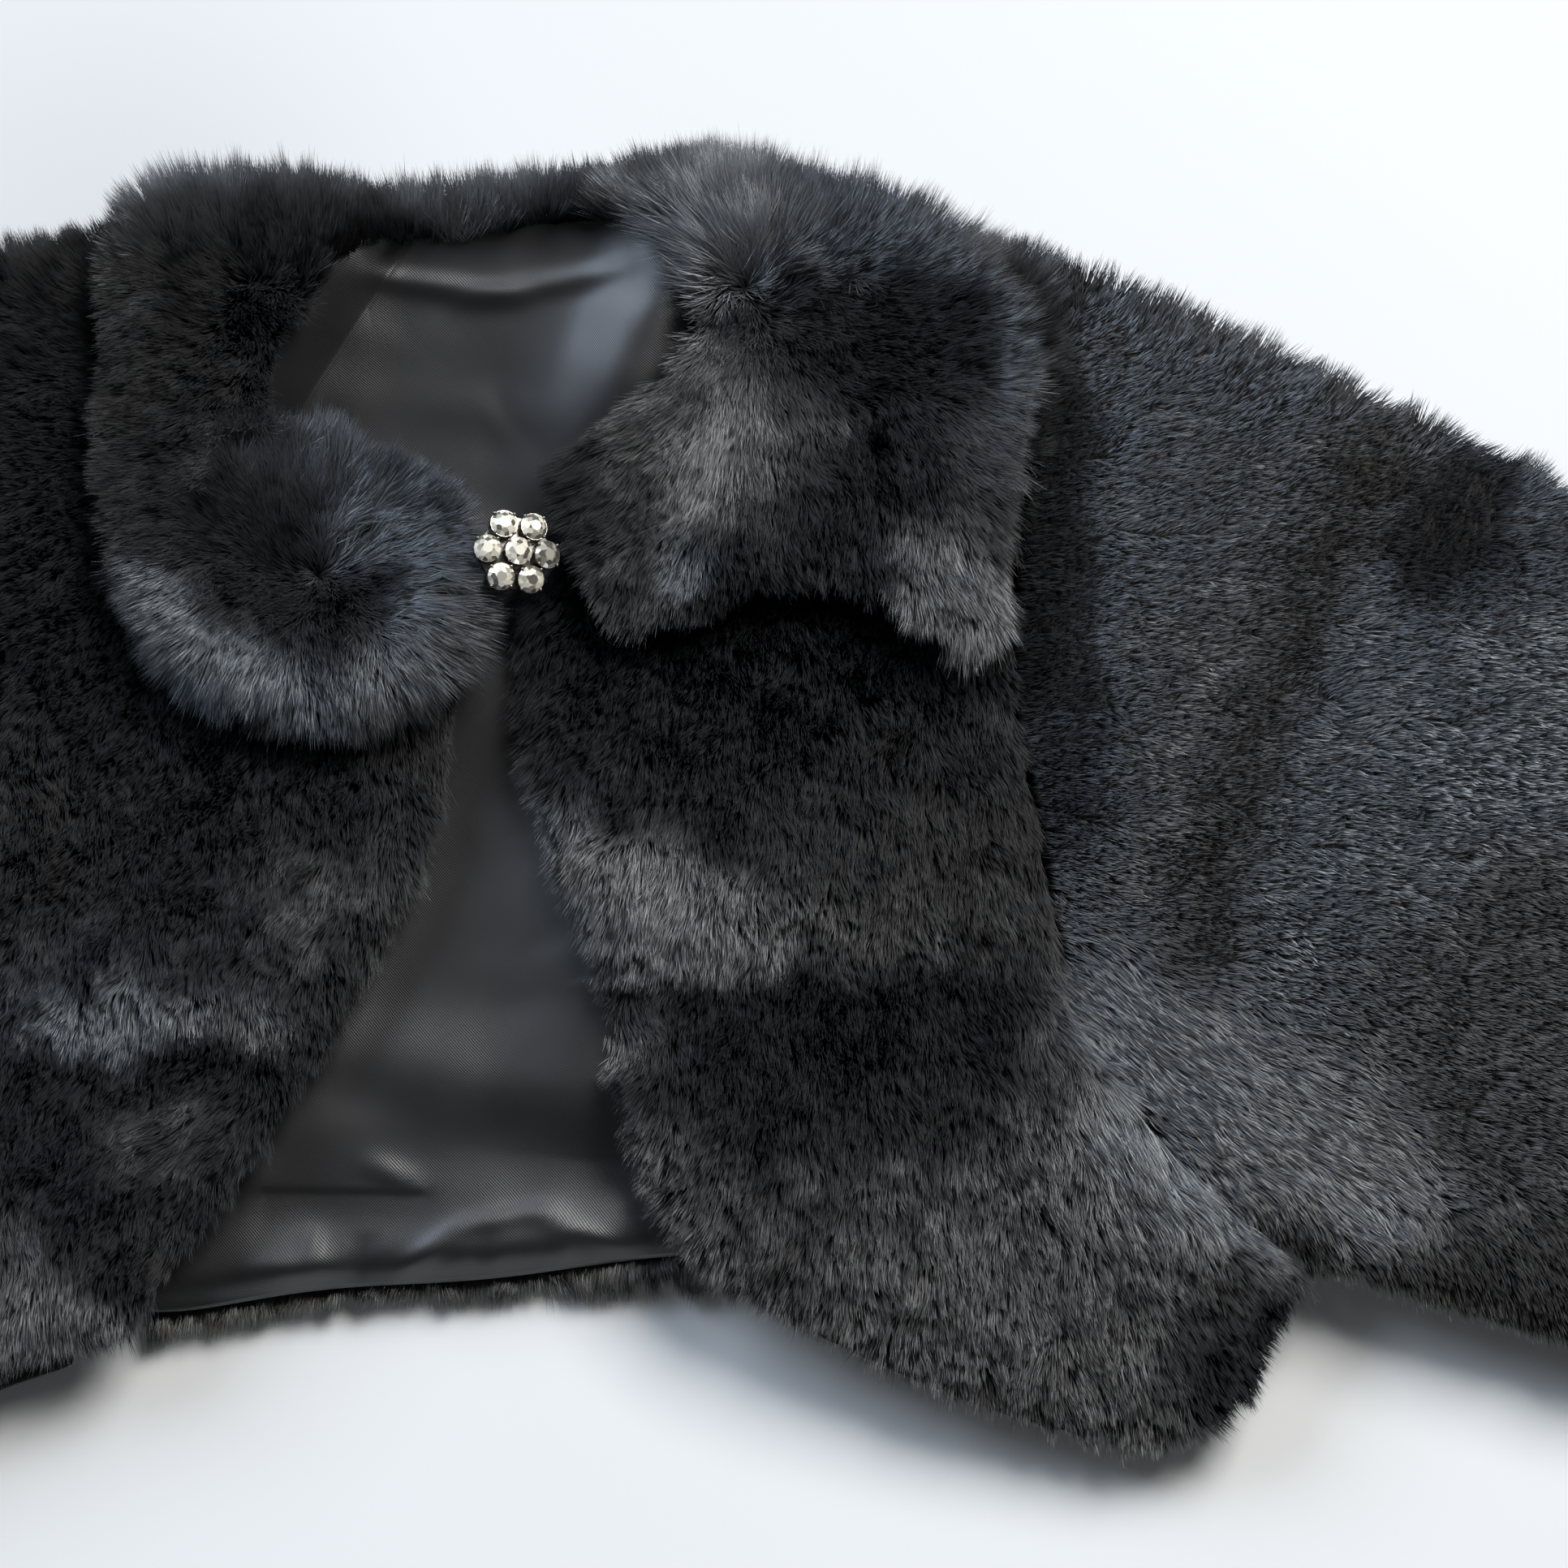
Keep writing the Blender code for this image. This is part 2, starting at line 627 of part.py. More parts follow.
def main():
    for obj in list(bpy.data.objects):
        bpy.data.objects.remove(obj)
    fur = new_material("black_fur", (0.012, 0.012, 0.014), 0.6)
    satin = new_material("black_satin", (0.02, 0.02, 0.024), 0.35)
    metal = new_material("silver_metal", (0.75, 0.74, 0.7), 0.2, 1.0)
    crystal = new_material("clear_crystal", (0.9, 0.88, 0.82), 0.05)
    garment = bpy.data.objects.new("garment", None)
    bpy.context.scene.collection.objects.link(garment)

    back = make_back(fur, garment)
    lining = make_lining(back, satin, garment)
    right_side = side_edge((ARMHOLE, SIDE_SEAM))
    left_side = side_edge((mirrored(ARMHOLE), mirrored(SIDE_SEAM)))
    front_rows = len(right_side)
    right_free = edge(RIGHT_FRONT_EDGE, front_rows)
    left_free = edge(LEFT_FRONT_EDGE, front_rows)
    front_right = make_front(
        "front_right", RIGHT_SHOULDER, RIGHT_HEM, right_free, right_side, right_side,
        RIGHT_FRONT_FOLDS, [back, lining], fur, garment,
    )
    front_left = make_front(
        "front_left", LEFT_SHOULDER, LEFT_HEM, left_side, left_free, left_side,
        LEFT_FRONT_FOLDS, [back, lining], fur, garment,
    )
    fronts = [front_left, front_right]
    collar_right = make_collar(
        "collar_right", COLLAR_RIGHT, 1, RIGHT_COLLAR_FOLDS, [back, lining] + fronts, fur, garment,
    )
    collar_left = make_collar(
        "collar_left", COLLAR_LEFT, -1, LEFT_COLLAR_FOLDS, [back, lining] + fronts, fur, garment,
    )
    make_facing("front_lining_right", RIGHT_HEM, satin, garment)
    make_facing("front_lining_left", LEFT_HEM, satin, garment)
    make_sleeve("sleeve_right", 1, fur, garment)
    make_sleeve("sleeve_left", -1, fur, garment)
    make_button(fronts + [collar_left, collar_right], metal, crystal, garment)
    centre_on_origin(garment)


main()
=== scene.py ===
"""Black fur bolero with a rhinestone flower button, laid flat: the looks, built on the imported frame."""

import math
from collections import namedtuple

import bmesh
import bpy
import numpy as np
from bpy.props import FloatProperty, FloatVectorProperty, IntProperty, PointerProperty
from mathutils import Matrix, Vector
from mathutils.bvhtree import BVHTree
from mathutils.kdtree import KDTree


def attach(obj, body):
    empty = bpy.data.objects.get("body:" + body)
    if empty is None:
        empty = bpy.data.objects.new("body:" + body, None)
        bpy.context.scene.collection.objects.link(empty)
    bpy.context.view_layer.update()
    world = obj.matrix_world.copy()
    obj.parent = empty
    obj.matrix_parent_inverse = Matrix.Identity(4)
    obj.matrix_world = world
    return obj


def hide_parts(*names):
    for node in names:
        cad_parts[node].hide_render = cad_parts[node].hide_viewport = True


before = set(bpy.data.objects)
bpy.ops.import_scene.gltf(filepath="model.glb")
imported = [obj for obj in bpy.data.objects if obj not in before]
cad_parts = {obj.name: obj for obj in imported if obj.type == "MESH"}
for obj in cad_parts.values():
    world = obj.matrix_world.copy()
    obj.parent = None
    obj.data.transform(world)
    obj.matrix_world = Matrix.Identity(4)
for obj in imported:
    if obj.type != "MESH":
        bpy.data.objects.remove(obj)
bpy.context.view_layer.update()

bl_info = {
    "name": "Fur bolero",
    "version": (1, 0, 0),
    "blender": (4, 5, 0),
    "location": "View3D > Sidebar > Bolero",
    "description": "Dresses the packed bolero in fur, satin and rhinestones",
    "category": "Object",
}

BODY = "root"
MM = 0.001
UP = Vector((0.0, 0.0, 1.0))

# How the cloth follows its solids

MERGE_DISTANCE = 0.01 * MM
QUAD_BEND = math.radians(50)  # most between two triangles that become one quad
QUAD_SKEW = math.radians(100)
PANEL_SIDE = 0.15  # a face whose normal rises more than this is on a panel's outer side
SATIN_SIDE = 0.3
FLOOR_GAP = 0.8 * MM  # between the floor and the back, and the least height of eased cloth
BACK_THINNER = 1.4 * MM  # of the back's upper side below its solid's
UNDER_DEPTH = 1.2 * MM  # of a sleeve's backing above the floor
FOLD_DEPTH = 0.4 * MM  # of a sleeve's backing at its folds
SHARP_FOLD = math.radians(55)  # a sleeve's outer skin ends at a fold as sharp as this
SEAM_REACH = 5 * MM  # an edge is a seam within this of a piece that it is sewn to
BACK_SEAM_REACH = 14 * MM
DRAW_REACH = 5  # how many insets from a free edge the cloth is drawn in with it
SEAM_FADE = 3  # over how many insets from a seam that starts
ACROSS = 0.8  # an edge lies across a panel where its direction's cosine is above this
NARROW_PULL = 0.28  # most that an edge is drawn in, as a share of the panel's width there
NARROW_REACH = 0.5
NEAREST = 0.5 * MM
NOWHERE = (9.0, 9.0)  # stands for the seams of a panel that has none

# Tables are in millimetres and degrees, in the row frame. A heading is counter-clockwise from +X.

Nap = namedtuple("Nap", "x y heading rise cool lift", defaults=(0.75, 0))
Crease = namedtuple("Crease", "x1 y1 x2 y2 half_width rise")
Step = namedtuple("Step", "x1 y1 x2 y2 half_width drop slope")
Ease = namedtuple("Ease", "x y radius dx dy dz", defaults=(0.0,))
Coat = namedtuple("Coat", "length edge stand combed lock gather uneven", defaults=(1.0, 1.0))
Panel = namedtuple("Panel", "node rows hairs seed")
Cut = namedtuple("Cut", "width length area rests_on")
Facet = namedtuple("Facet", "count slope reach turn")


def naps(*rows):
    return [Nap(*row) for row in rows]


SEWN_TO = {
    "back": ("sleeve_left", "sleeve_right", "collar_left", "collar_right"),
    "front_left": ("sleeve_left",),
    "front_right": ("sleeve_right",),
    "sleeve_left": ("front_left", "back"),
    "sleeve_right": ("front_right", "back"),
    "collar_left": ("collar_right",),
    "collar_right": ("collar_left",),
}
STONE_NODES = ("stone_centre",) + tuple(f"stone_petal_{i}" for i in range(1, 7))

# Nap: which way the pile lies, how steeply it shines, how blue it looks (0 is brownish, 1 bluish), and how
# steeply it stands, where the table gives that

NAP_COLLAR_RIGHT = naps(
    (3, 146, 92, 20, 0.5, 58), (18, 149, 94, 26, 0.5, 60), (30, 151, 95, 30, 0.5, 62),
    (14, 137, 92, 54, 0.5), (30, 138, 160, 16, 0.5, 40), (38, 129, 165, -3, 0.5, 20),
    (47, 125, 145, -8, 0.5, 17), (41, 121, 185, 4, 0.5, 15), (50, 138, 110, 14, 0.5, 45),
    (40, 148, 95, 26, 0.6, 60), (65, 142, 78, 27, 0.6, 54), (80, 137, 60, 25, 0.6, 52),
    (95, 135, 50, 24, 0.6, 50), (69, 132, 65, 22, 0.6, 45), (106, 128, 35, 18, 0.5, 40),
    (117, 129, 42, 20, 0.5, 50), (120, 116, 16, 22, 0.6), (115, 102, 8, 24, 0.6), (127, 102, 6, 26, 0.5),
    (69, 117, -30, 70), (86, 114, -20, 70), (102, 116, 0, 68), (74, 104, -70, 68), (91, 102, -40, 69),
    (105, 104, -10, 70), (53, 116, -90, 52), (40, 100, -125, 42, 0.4), (28, 92, -140, 44, 0.4),
    (16, 83, -155, 60, 0.7, 16), (52, 102, -105, 30, 0.35), (57, 94, -98, 21, 0.35),
    (52, 85, -106, 21, 0.35), (46, 76, -112, 25, 0.35), (60, 82, -95, 30, 0.4), (65, 100, -80, 42, 0.4),
    (69, 95, -65, 32, 0.45), (78, 91, -55, 29, 0.5), (83, 95, -60, 66), (69, 82, -80, 47, 0.5),
    (72, 67, -80, 55), (66, 57, -85, 56), (32, 76, -122, 44, 0.4), (21, 67, -130, 56, 0.4),
    (32, 58, -115, 46, 0.5), (21, 49, -120, 52, 0.5), (44, 57, -105, 27, 0.95), (52, 55, -95, 68),
    (38, 45, -105, 50, 0.5), (59, 48, -90, 66), (12, 70, -170, 68, 0.75, 12), (80, 76, -85, 62),
    (83, 64, -85, 62), (86, 85, -70, 72), (94, 92, -60, 56), (105, 86, -45, 38, 0.5),
    (115, 85, -40, 34, 0.5), (99, 76, -70, 53), (115, 70, -50, 40, 0.45), (93, 64, -85, 34, 0.5),
    (103, 58, -70, 23, 0.4), (112, 52, -72, 25, 0.4), (99, 52, -78, 32, 0.4), (111, 40, -82, 30, 0.4),
    (118, 58, -60, 46, 0.4), (48, 132, 125, -12, 0.5, 25), (56, 134, 100, -4, 0.5, 30), (75, 58, -85, 60),
    (78, 52, -85, 60), (12, 60, -160, 68, 0.75, 12), (18, 74, -150, 62, 0.7, 20),
    (57, 129, 100, -8, 0.5, 30), (64, 122, 40, 50, 0.5),
)
NAP_COLLAR_LEFT = naps(
    (-104, 139, 130, 20, 0.5, 52), (-91, 142, 115, 14, 0.5, 56), (-80, 142, 105, 6, 0.5, 54),
    (-67, 144, 100, 10, 0.5, 60), (-53, 145, 98, 26, 0.5, 62), (-38, 142, 95, 26, 0.5, 60),
    (-24, 141, 92, 24, 0.5, 60), (-11, 142, 95, 20, 0.5, 56), (-75, 134, 110, 42, 0.3),
    (-59, 131, 100, 52, 0.3), (-40, 134, 90, 50, 0.3), (-27, 132, 88, 58, 0.4), (-86, 118, -150, 54, 0.4),
    (-72, 116, 170, 70, 0.4), (-59, 113, -60, 76), (-83, 102, -140, 64, 0.4), (-66, 99, -120, 67, 0.4),
    (-56, 94, -40, 72), (-93, 91, -170, 52, 0.4), (-93, 75, -170, 54, 0.4), (-78, 83, -130, 65, 0.5),
    (-82, 65, -140, 60, 0.6), (-67, 65, 140, 63, 0.6), (-59, 78, 100, 18, 0.6), (-43, 78, 78, 14, 0.6),
    (-30, 76, 58, 40, 0.6), (-21, 70, 35, 44, 0.6), (-51, 65, 90, 36, 0.5), (-38, 59, 45, -6, 0.5),
    (-27, 62, 20, 24, 0.5), (-13, 60, 0, 40, 0.6), (-22, 49, -5, 4, 0.6), (-13, 46, -12, 6, 0.6),
    (-17, 39, -28, 8, 0.6), (-22, 31, -48, 12, 0.6), (-32, 26, -65, 16, 0.6), (-13, 30, -40, 10, 0.6),
    (-40, 44, -70, 74), (-50, 46, -150, 66, 0.7), (-32, 51, -12, 62), (-62, 49, -130, 62, 0.7),
    (-83, 51, -150, 30, 0.9), (-75, 43, -125, 25, 0.9), (-67, 31, -108, 24, 0.9), (-54, 25, -96, 25, 0.9),
    (-43, 26, -86, 24, 0.8), (-75, 26, -118, 30, 0.9), (-59, 36, -100, 30, 0.9), (-43, 35, -85, 42, 0.7),
    (-51, 57, 125, 55, 0.6),
)
NAP_FRONT_RIGHT = naps(
    (22, 36, -100, 70), (52, 33, -95, 72), (83, 36, -90, 72), (107, 30, -85, 66), (14, 18, -110, 66),
    (40, 15, -100, 70), (65, 18, -92, 70), (89, 13, -90, 62, 0.4), (110, 13, -85, 58, 0.4),
    (117, 21, -70, 46, 0.4), (-4, 27, -140, 62, 0.7, 14), (1, 12, -135, 54, 0.8, 20),
    (5, -2, -125, 42, 0.9), (30, 1, -100, 60), (52, -3, -95, 64), (74, 0, -90, 53, 0.3),
    (95, -5, -88, 49, 0.2), (113, -5, -82, 51, 0.2), (19, -11, -108, 26, 0.5), (33, -12, -98, 24, 0.35),
    (42, -19, -95, 23, 0.35), (28, -25, -100, 25, 0.5), (48, -29, -92, 23, 0.35), (37, -32, -95, 24, 0.5),
    (13, -16, -115, 38, 0.8), (60, -26, -90, 37, 0.3), (77, -25, -88, 43, 0.2), (95, -28, -85, 43, 0.15),
    (113, -26, -80, 48, 0.2), (62, -34, -90, 30, 0.4), (83, -34, -88, 43, 0.2), (42, -45, -98, 67),
    (31, -49, -60, 33, 0.4), (60, -46, -92, 73), (86, -48, -88, 73), (110, -46, -80, 67),
    (22, -41, -110, 60), (52, -54, -95, 73), (84, -56, -88, 73), (111, -54, -80, 67), (31, -65, -110, 62),
    (63, -71, -95, 67), (99, -71, -88, 58, 0.4), (136, -50, -42, 11, 0.5), (147, -56, -32, 8, 0.5),
    (161, -67, -26, 6, 0.5), (176, -77, -24, 6, 0.45), (141, -71, -70, 16, 0.5), (153, -80, -62, 14, 0.5),
    (166, -90, -58, 13, 0.45), (176, -94, -50, 15, 0.4), (128, -61, -75, 46, 0.4), (94, -86, -88, 44, 0.5),
    (115, -88, -84, 40, 0.5), (132, -92, -78, 34, 0.4), (73, -88, -92, 49, 0.4), (52, -90, -108, 48, 0.4),
    (38, -94, -125, 44, 0.4), (84, -103, -94, 43, 0.35), (65, -107, -105, 48, 0.4),
    (105, -107, -88, 38, 0.35), (128, -111, -82, 41, 0.3), (149, -107, -72, 41, 0.3),
    (166, -111, -65, 49, 0.25), (178, -119, -60, 70, 0.6), (99, -121, -92, 43, 0.3),
    (122, -126, -86, 38, 0.3), (145, -126, -78, 40, 0.25), (164, -128, -68, 64, 0.5),
    (136, -138, -82, 43, 0.25), (153, -142, -78, 45, 0.2), (115, -138, -92, 52, 0.3),
    (80, -126, -108, 52, 0.3), (172, -136, -62, 70, 0.6), (122, 115, 30, 46, 0.4), (80, 142, 60, 50, 0.3),
    (118, 131, 60, 35, 0.3), (127, 128, 70, 30, 0.3), (32, -35, -97, 25, 0.5), (50, -35.5, -93, 24, 0.5),
    (32, -41, -100, 70), (50, -41.5, -95, 74), (70, -41, -92, 74), (90, -41, -88, 72),
    (21, -58, -112, 22, 0.5), (26, -82, -120, 17, 0.5), (36, -103, -125, 15, 0.5),
    (56, -119, -115, 16, 0.4), (85, -133, -105, 18, 0.4),
)
NAP_FRONT_LEFT = naps(
    (-107, 132, 130, 50, 0.3), (-113, 109, 180, 66), (-107, 94, -150, 72), (-107, 56, -120, 74),
    (-100, 35, -100, 74), (-99, 14, -100, 70), (-70, 2, -95, 72), (-41, 2, -90, 66),
    (-107, -13, -95, 70, 0.4), (-80, -19, -92, 70), (-60, -33, -95, 61), (-111, 4, -60, 60, 0.1),
    (-22, 10, -80, 53, 0.4), (-18, -3, -75, 55, 0.4), (-27, -13, -75, 47, 0.4), (-41, -19, -105, 44, 0.4),
    (-49, -27, -110, 46, 0.4), (-31, -27, -90, 50, 0.4), (-37, -46, -90, 62, 0.4), (-51, -71, -95, 66),
    (-64, -91, -105, 62, 0.4), (-76, -108, -105, 60, 0.3), (-99, -50, -100, 28, 0.9),
    (-86, -46, -88, 26, 0.8), (-74, -46, -82, 30, 0.6), (-58, -49, -75, 31, 0.4), (-93, -54, -95, 26, 0.9),
    (-111, -50, -100, 46, 0.8), (-95, -38, -95, 57), (-74, -38, -90, 57), (-80, -62, -90, 75),
    (-57, -60, -85, 73), (-107, -64, -95, 71), (-107, -81, -90, 73), (-80, -75, -150, 41, 0.4),
    (-72, -71, -140, 45, 0.4), (-93, -91, -95, 71), (-70, -91, -100, 64), (-111, -100, -70, 38, 0.35),
    (-107, -114, -85, 30, 0.35), (-93, -118, -75, 34, 0.35), (-115, -130, -95, 34, 0.35, 55),
    (-101, -130, -85, 36, 0.35, 55), (-103, -95, -95, 70), (-90, -108, -95, 69),
    (-130, -100, -110, 42, 0.2), (-147, -96, -125, 42, 0.3), (-166, -115, -130, 42, 0.3),
    (-147, -138, -100, 48, 0.2), (-95, -60, -95, 74), (-70, -57, -90, 74), (-112, -58, -95, 72),
)
NAP_SLEEVE = naps(
    (135, 129, 75, 32, 0.3), (154, 119, 62, 26, 0.3), (178, 109, 60, 24, 0.3), (197, 97, 58, 26, 0.2),
    (216, 92, 60, 26, 0.3), (242, 83, 62, 26, 0.3), (300, 60, 62, 28, 0.4), (380, 26, 62, 28, 0.4),
    (141, 104, -5, 20, 0.6), (143, 71, -10, 18, 0.6), (145, 39, -12, 18, 0.55), (150, 7, -15, 19, 0.55),
    (145, -19, -22, 20, 0.5), (160, 93, -5, 18, 0.8), (160, 60, -10, 17, 0.85), (180, 97, 20, 36, 0.5),
    (130, 82, -5, 49), (130, 50, -8, 49), (132, 24, -10, 49), (132, -2, -12, 49), (221, 65, -15, 78),
    (212, 56, -15, 70, 0.7), (229, 76, -10, 73), (203, 41, -15, 17, 1.0), (225, 35, -15, 16, 1.0),
    (242, 41, -15, 19, 0.8), (242, 65, -10, 36, 0.7), (199, 15, -15, 17, 1.0), (221, 7, -18, 16, 1.0),
    (242, 7, -18, 17, 1.0), (188, -11, -20, 17, 0.95), (210, -15, -20, 20, 0.8), (182, -36, -25, 20, 0.7),
    (203, -43, -25, 32, 0.4), (234, -28, -22, 38, 0.1), (242, -49, -25, 38, 0.1), (221, -54, -28, 38, 0.1),
    (143, -43, -45, 20, 0.5, 30), (150, -54, -42, 13, 0.5, 20), (162, -58, -40, 12, 0.5, 18),
    (185, -77, -35, 11, 0.45, 18), (195, -86, -30, 11, 0.4, 20), (199, -96, -42, 18, 0.5, 30),
    (225, -68, -25, 44, 0.1), (200, -112, -75, 58, 0.1, 50), (240, -125, -78, 56, 0.1, 50),
    (300, -140, -80, 52, 0.2, 50), (350, -150, -80, 52, 0.2, 50), (300, 30, -20, 34, 0.6),
    (300, -60, -24, 34, 0.5), (380, 0, -24, 34, 0.5), (340, -120, -35, 34, 0.4),
    (204, 90, -12, 48, 0.0, 70), (197, 75, -12, 48, 0.0, 70), (189, 56, -14, 48, 0.0, 70),
    (182, 37, -14, 48, 0.0, 70), (175, 18, -15, 48, 0.0, 70), (169, -1, -16, 48, 0.0, 70),
    (164, -20, -18, 48, 0.0, 70), (160, -35, -20, 46, 0.1, 60), (187, 86, -8, 22, 0.6),
    (180, 70, -8, 20, 0.6), (172, 52, -10, 19, 0.6), (165, 34, -10, 19, 0.6), (159, 16, -12, 19, 0.6),
    (153, -3, -14, 20, 0.6), (203, 52, -15, 22, 0.9), (197, 34, -15, 17, 1.0), (190, 16, -15, 17, 1.0),
    (184, -2, -16, 18, 1.0), (178, -20, -20, 19, 0.9), (185, -104, -70, 58, 0.1, 50),
    (220, -119, -78, 58, 0.1, 50), (199, 80, -12, 48, 0.0, 70), (192, 62, -13, 48, 0.0, 70),
    (185, 44, -14, 48, 0.0, 70), (178, 26, -14, 48, 0.0, 70), (172, 8, -15, 48, 0.0, 70),
    (166, -10, -17, 48, 0.0, 70), (130, 96, -5, 49), (130, 66, -7, 49), (131, 37, -9, 49),
    (132, 11, -11, 49),
)
NAP_BACK = naps(
    (-120, 140, 110, 30, 0.3), (0, 150, 92, 35, 0.3), (120, 140, 70, 30, 0.3),
    (-100, -130, -92, 26, 0.1, 20), (-50, -120, -97, 28, 0.1, 22), (0, -115, -84, 26, 0.1, 18),
    (50, -118, -92, 28, 0.1, 20), (100, -125, -88, 28, 0.1, 20), (-128, 110, 150, 40), (128, 110, 30, 40),
)

# Creases of the satin, finer than those of its solid

SATIN_CREASES = [
    Crease(-200, 130, 200, 130, 55.0, 6.0), Crease(-40, 128, 30, 128, 18.0, 1.2),
    Crease(-40, 127, 8, 120.5, 2.6, 1.1), Crease(-16, 120, 32, 128.5, 2.6, 1.1),
    Crease(-24, 112, -46, 86, 9.0, 0.6), Crease(44, 148, 20, 64, 18.0, 7.5),
    Crease(-66, 130, -38, 136, 15.0, 3.5), Crease(-10, 100, 4, 82, 2.6, 0.2),
    Crease(-4, 98, 10, 78, 2.6, -0.2), Crease(-60, 36, 60, 36, 24.0, 4.0),
    Crease(36, 40, 24, -84, 20.0, 6.5), Crease(8, 40, -46, -70, 12.0, -1.6),
    Crease(-70, -52, 50, -73, 10.0, 1.7), Crease(-70, -69, 50, -92, 9.0, -1.0),
    Crease(-36, -83, -19, -90, 2.8, 0.7), Crease(-30, -113, -8, -97, 2.4, 0.9),
    Crease(-17, -100, 15, -94, 2.4, 0.7), Crease(3, -94.5, 31, -106, 2.4, 0.8),
    Crease(-63, -110, -37, -108.5, 3.5, 0.9), Crease(-120, -122.5, 80, -104.2, 4.5, -4.0),
    Crease(-46, -98, -44, -112, 2.2, 0.5), Crease(-33, -100, -36, -113, 2.4, -0.7),
    Crease(-4, -99, -8, -110, 2.4, -0.6), Crease(12, -98, 14, -108, 2.0, 0.5),
]
SATIN_STEPS = [
    Step(-54, 88, -27, 130, 0.8, 0.4, 0.35),  # the fold at the left of the neck
    Step(-22, -91, -56, -90.5, 1.0, 0.55, 0.03),  # the fold above the hem
]
LINING_REACH = 1.5 * MM  # of the lining past its solid at the hem, over the back's edge
LINING_HEM = -90 * MM
SATIN_RIPPLE = 0.15 * MM  # height of the lining's unevenness between its creases
SATIN_PITCH = 16 * MM
SATIN_SEED = 7
STEP_REACH = 3 * MM  # faces are split within this of a folded edge
STEP_CUTS = 4
STEP_FADE = 4 * MM  # over which a folded edge ends
STEP_CLIMB = 18 * MM  # over which the cloth beside it climbs again
STEP_SHARP = 0.4
EXP_LIMIT = 40
LINING_LEVELS = {"back_lining": 3, "front_lining_left": 2, "front_lining_right": 2}

# Where cloth lies away from its solid. The back's hem sinks towards the floor along a slanting line.

HEM_SLANT = 0.092
HEM_Y = -111
HEM_DROP = [Ease(x, HEM_SLANT * x + HEM_Y, 14, 0.0, 0.0, -3.0) for x in range(-84, 45, 12)]
EASES = {
    "back_lining": [Ease(-5, 138, 45, 0.0, 5.0), Ease(24, 138, 18, 0.0, 4.0)],
    "back": [
        Ease(-30, -120, 60, 0.0, 3.0), Ease(182, -140, 22, -10.0, 10.0), Ease(-182, -140, 22, 10.0, 10.0),
        Ease(-120, -138, 30, 0.0, 7.0), Ease(150, -138, 45, 0.0, 0.0, -7.0), *HEM_DROP,
    ],
    "front_left": [Ease(-116, -148, 30, 0.0, 11.0, -4.0)],
    "front_right": [Ease(180, -146, 24, -1.5, 2.5), Ease(150, -150, 45, 0.0, 0.0, -7.0)],
    "front_lining_left": [Ease(-128, -143, 60, 0.0, 8.0, -4.0)],
    "front_lining_right": [
        Ease(112, -138, 80, 0.0, 3.6), Ease(152, -152, 16, -3.0, 5.0), Ease(150, -150, 45, 0.0, 0.0, -7.0),
    ],
    "collar_right": [Ease(52, 150, 26, 0.0, -2.6)],
    "sleeve_right": [
        Ease(143, 126, 16, 0.0, 11.0), Ease(168, 113, 18, 1.2, 4.4), Ease(190, 103, 18, 1.6, 3.8),
        Ease(212, 94, 18, 1.6, 3.8), Ease(236, 84, 20, 1.6, 3.8), Ease(194, -112, 20, 0.0, 4.0),
        Ease(232, -124, 26, 0.0, 3.0), Ease(280, -136, 36, 0.0, 3.0),
    ],
}
EASES["sleeve_left"] = [row._replace(x=-row.x, dx=-row.dx) for row in EASES["sleeve_right"]]

# Settings

class PileSettings(bpy.types.PropertyGroup):
    """Sizes and colours of the fur."""

    depth: FloatProperty(
        name="Root depth", description="How far the backing lies below the solid's outer surface",
        default=5.5 * MM, unit="LENGTH",
    )
    inset: FloatProperty(
        name="Edge inset", description="How far the backing is drawn in from a free edge",
        default=5.5 * MM, unit="LENGTH",
    )
    backing: FloatProperty(
        name="Backing", description="Thickness of the knitted backing", default=1.2 * MM, unit="LENGTH",
    )
    length: FloatProperty(
        name="Hair length", description="Length of the long pile", default=9.0 * MM, unit="LENGTH",
    )
    short_length: FloatProperty(
        name="Short hair length", description="Length of the pile on the sleeves",
        default=5.2 * MM, unit="LENGTH",
    )
    edge_length: FloatProperty(
        name="Edge hair length", description="Length of the pile at the fronts' and the collar's edges",
        default=11.0 * MM, unit="LENGTH",
    )
    hem_length: FloatProperty(
        name="Hem hair length", description="Length of the back's pile at its neck and hem",
        default=10.0 * MM, unit="LENGTH",
    )
    fold_length: FloatProperty(
        name="Fold hair length", description="Length of the pile at the sleeves' folds",
        default=8.5 * MM, unit="LENGTH",
    )
    stand: FloatProperty(
        name="Stand", description="How far the pile stands up, away from folds and edges",
        default=math.radians(50), subtype="ANGLE",
    )
    width: FloatProperty(
        name="Hair width", description="Width of a hair at its root", default=0.33 * MM, unit="LENGTH",
    )
    bend: FloatProperty(
        name="Bend", description="How far a hair's shading bends from its middle to either end",
        default=math.radians(13), subtype="ANGLE",
    )
    lock: IntProperty(
        name="Hairs in a lock", description="How many hairs lean together into one lock", default=10,
    )
    tuft: IntProperty(
        name="Hairs in a tuft", description="How many hairs lean together into one tuft", default=150,
    )
    warm: FloatVectorProperty(
        name="Warm hair", description="Colour of the hairs that look brown", default=(0.056, 0.0525, 0.049),
        subtype="COLOR",
    )
    cool: FloatVectorProperty(
        name="Cool hair", description="Colour of the hairs that look blue", default=(0.023, 0.0265, 0.0325),
        subtype="COLOR",
    )


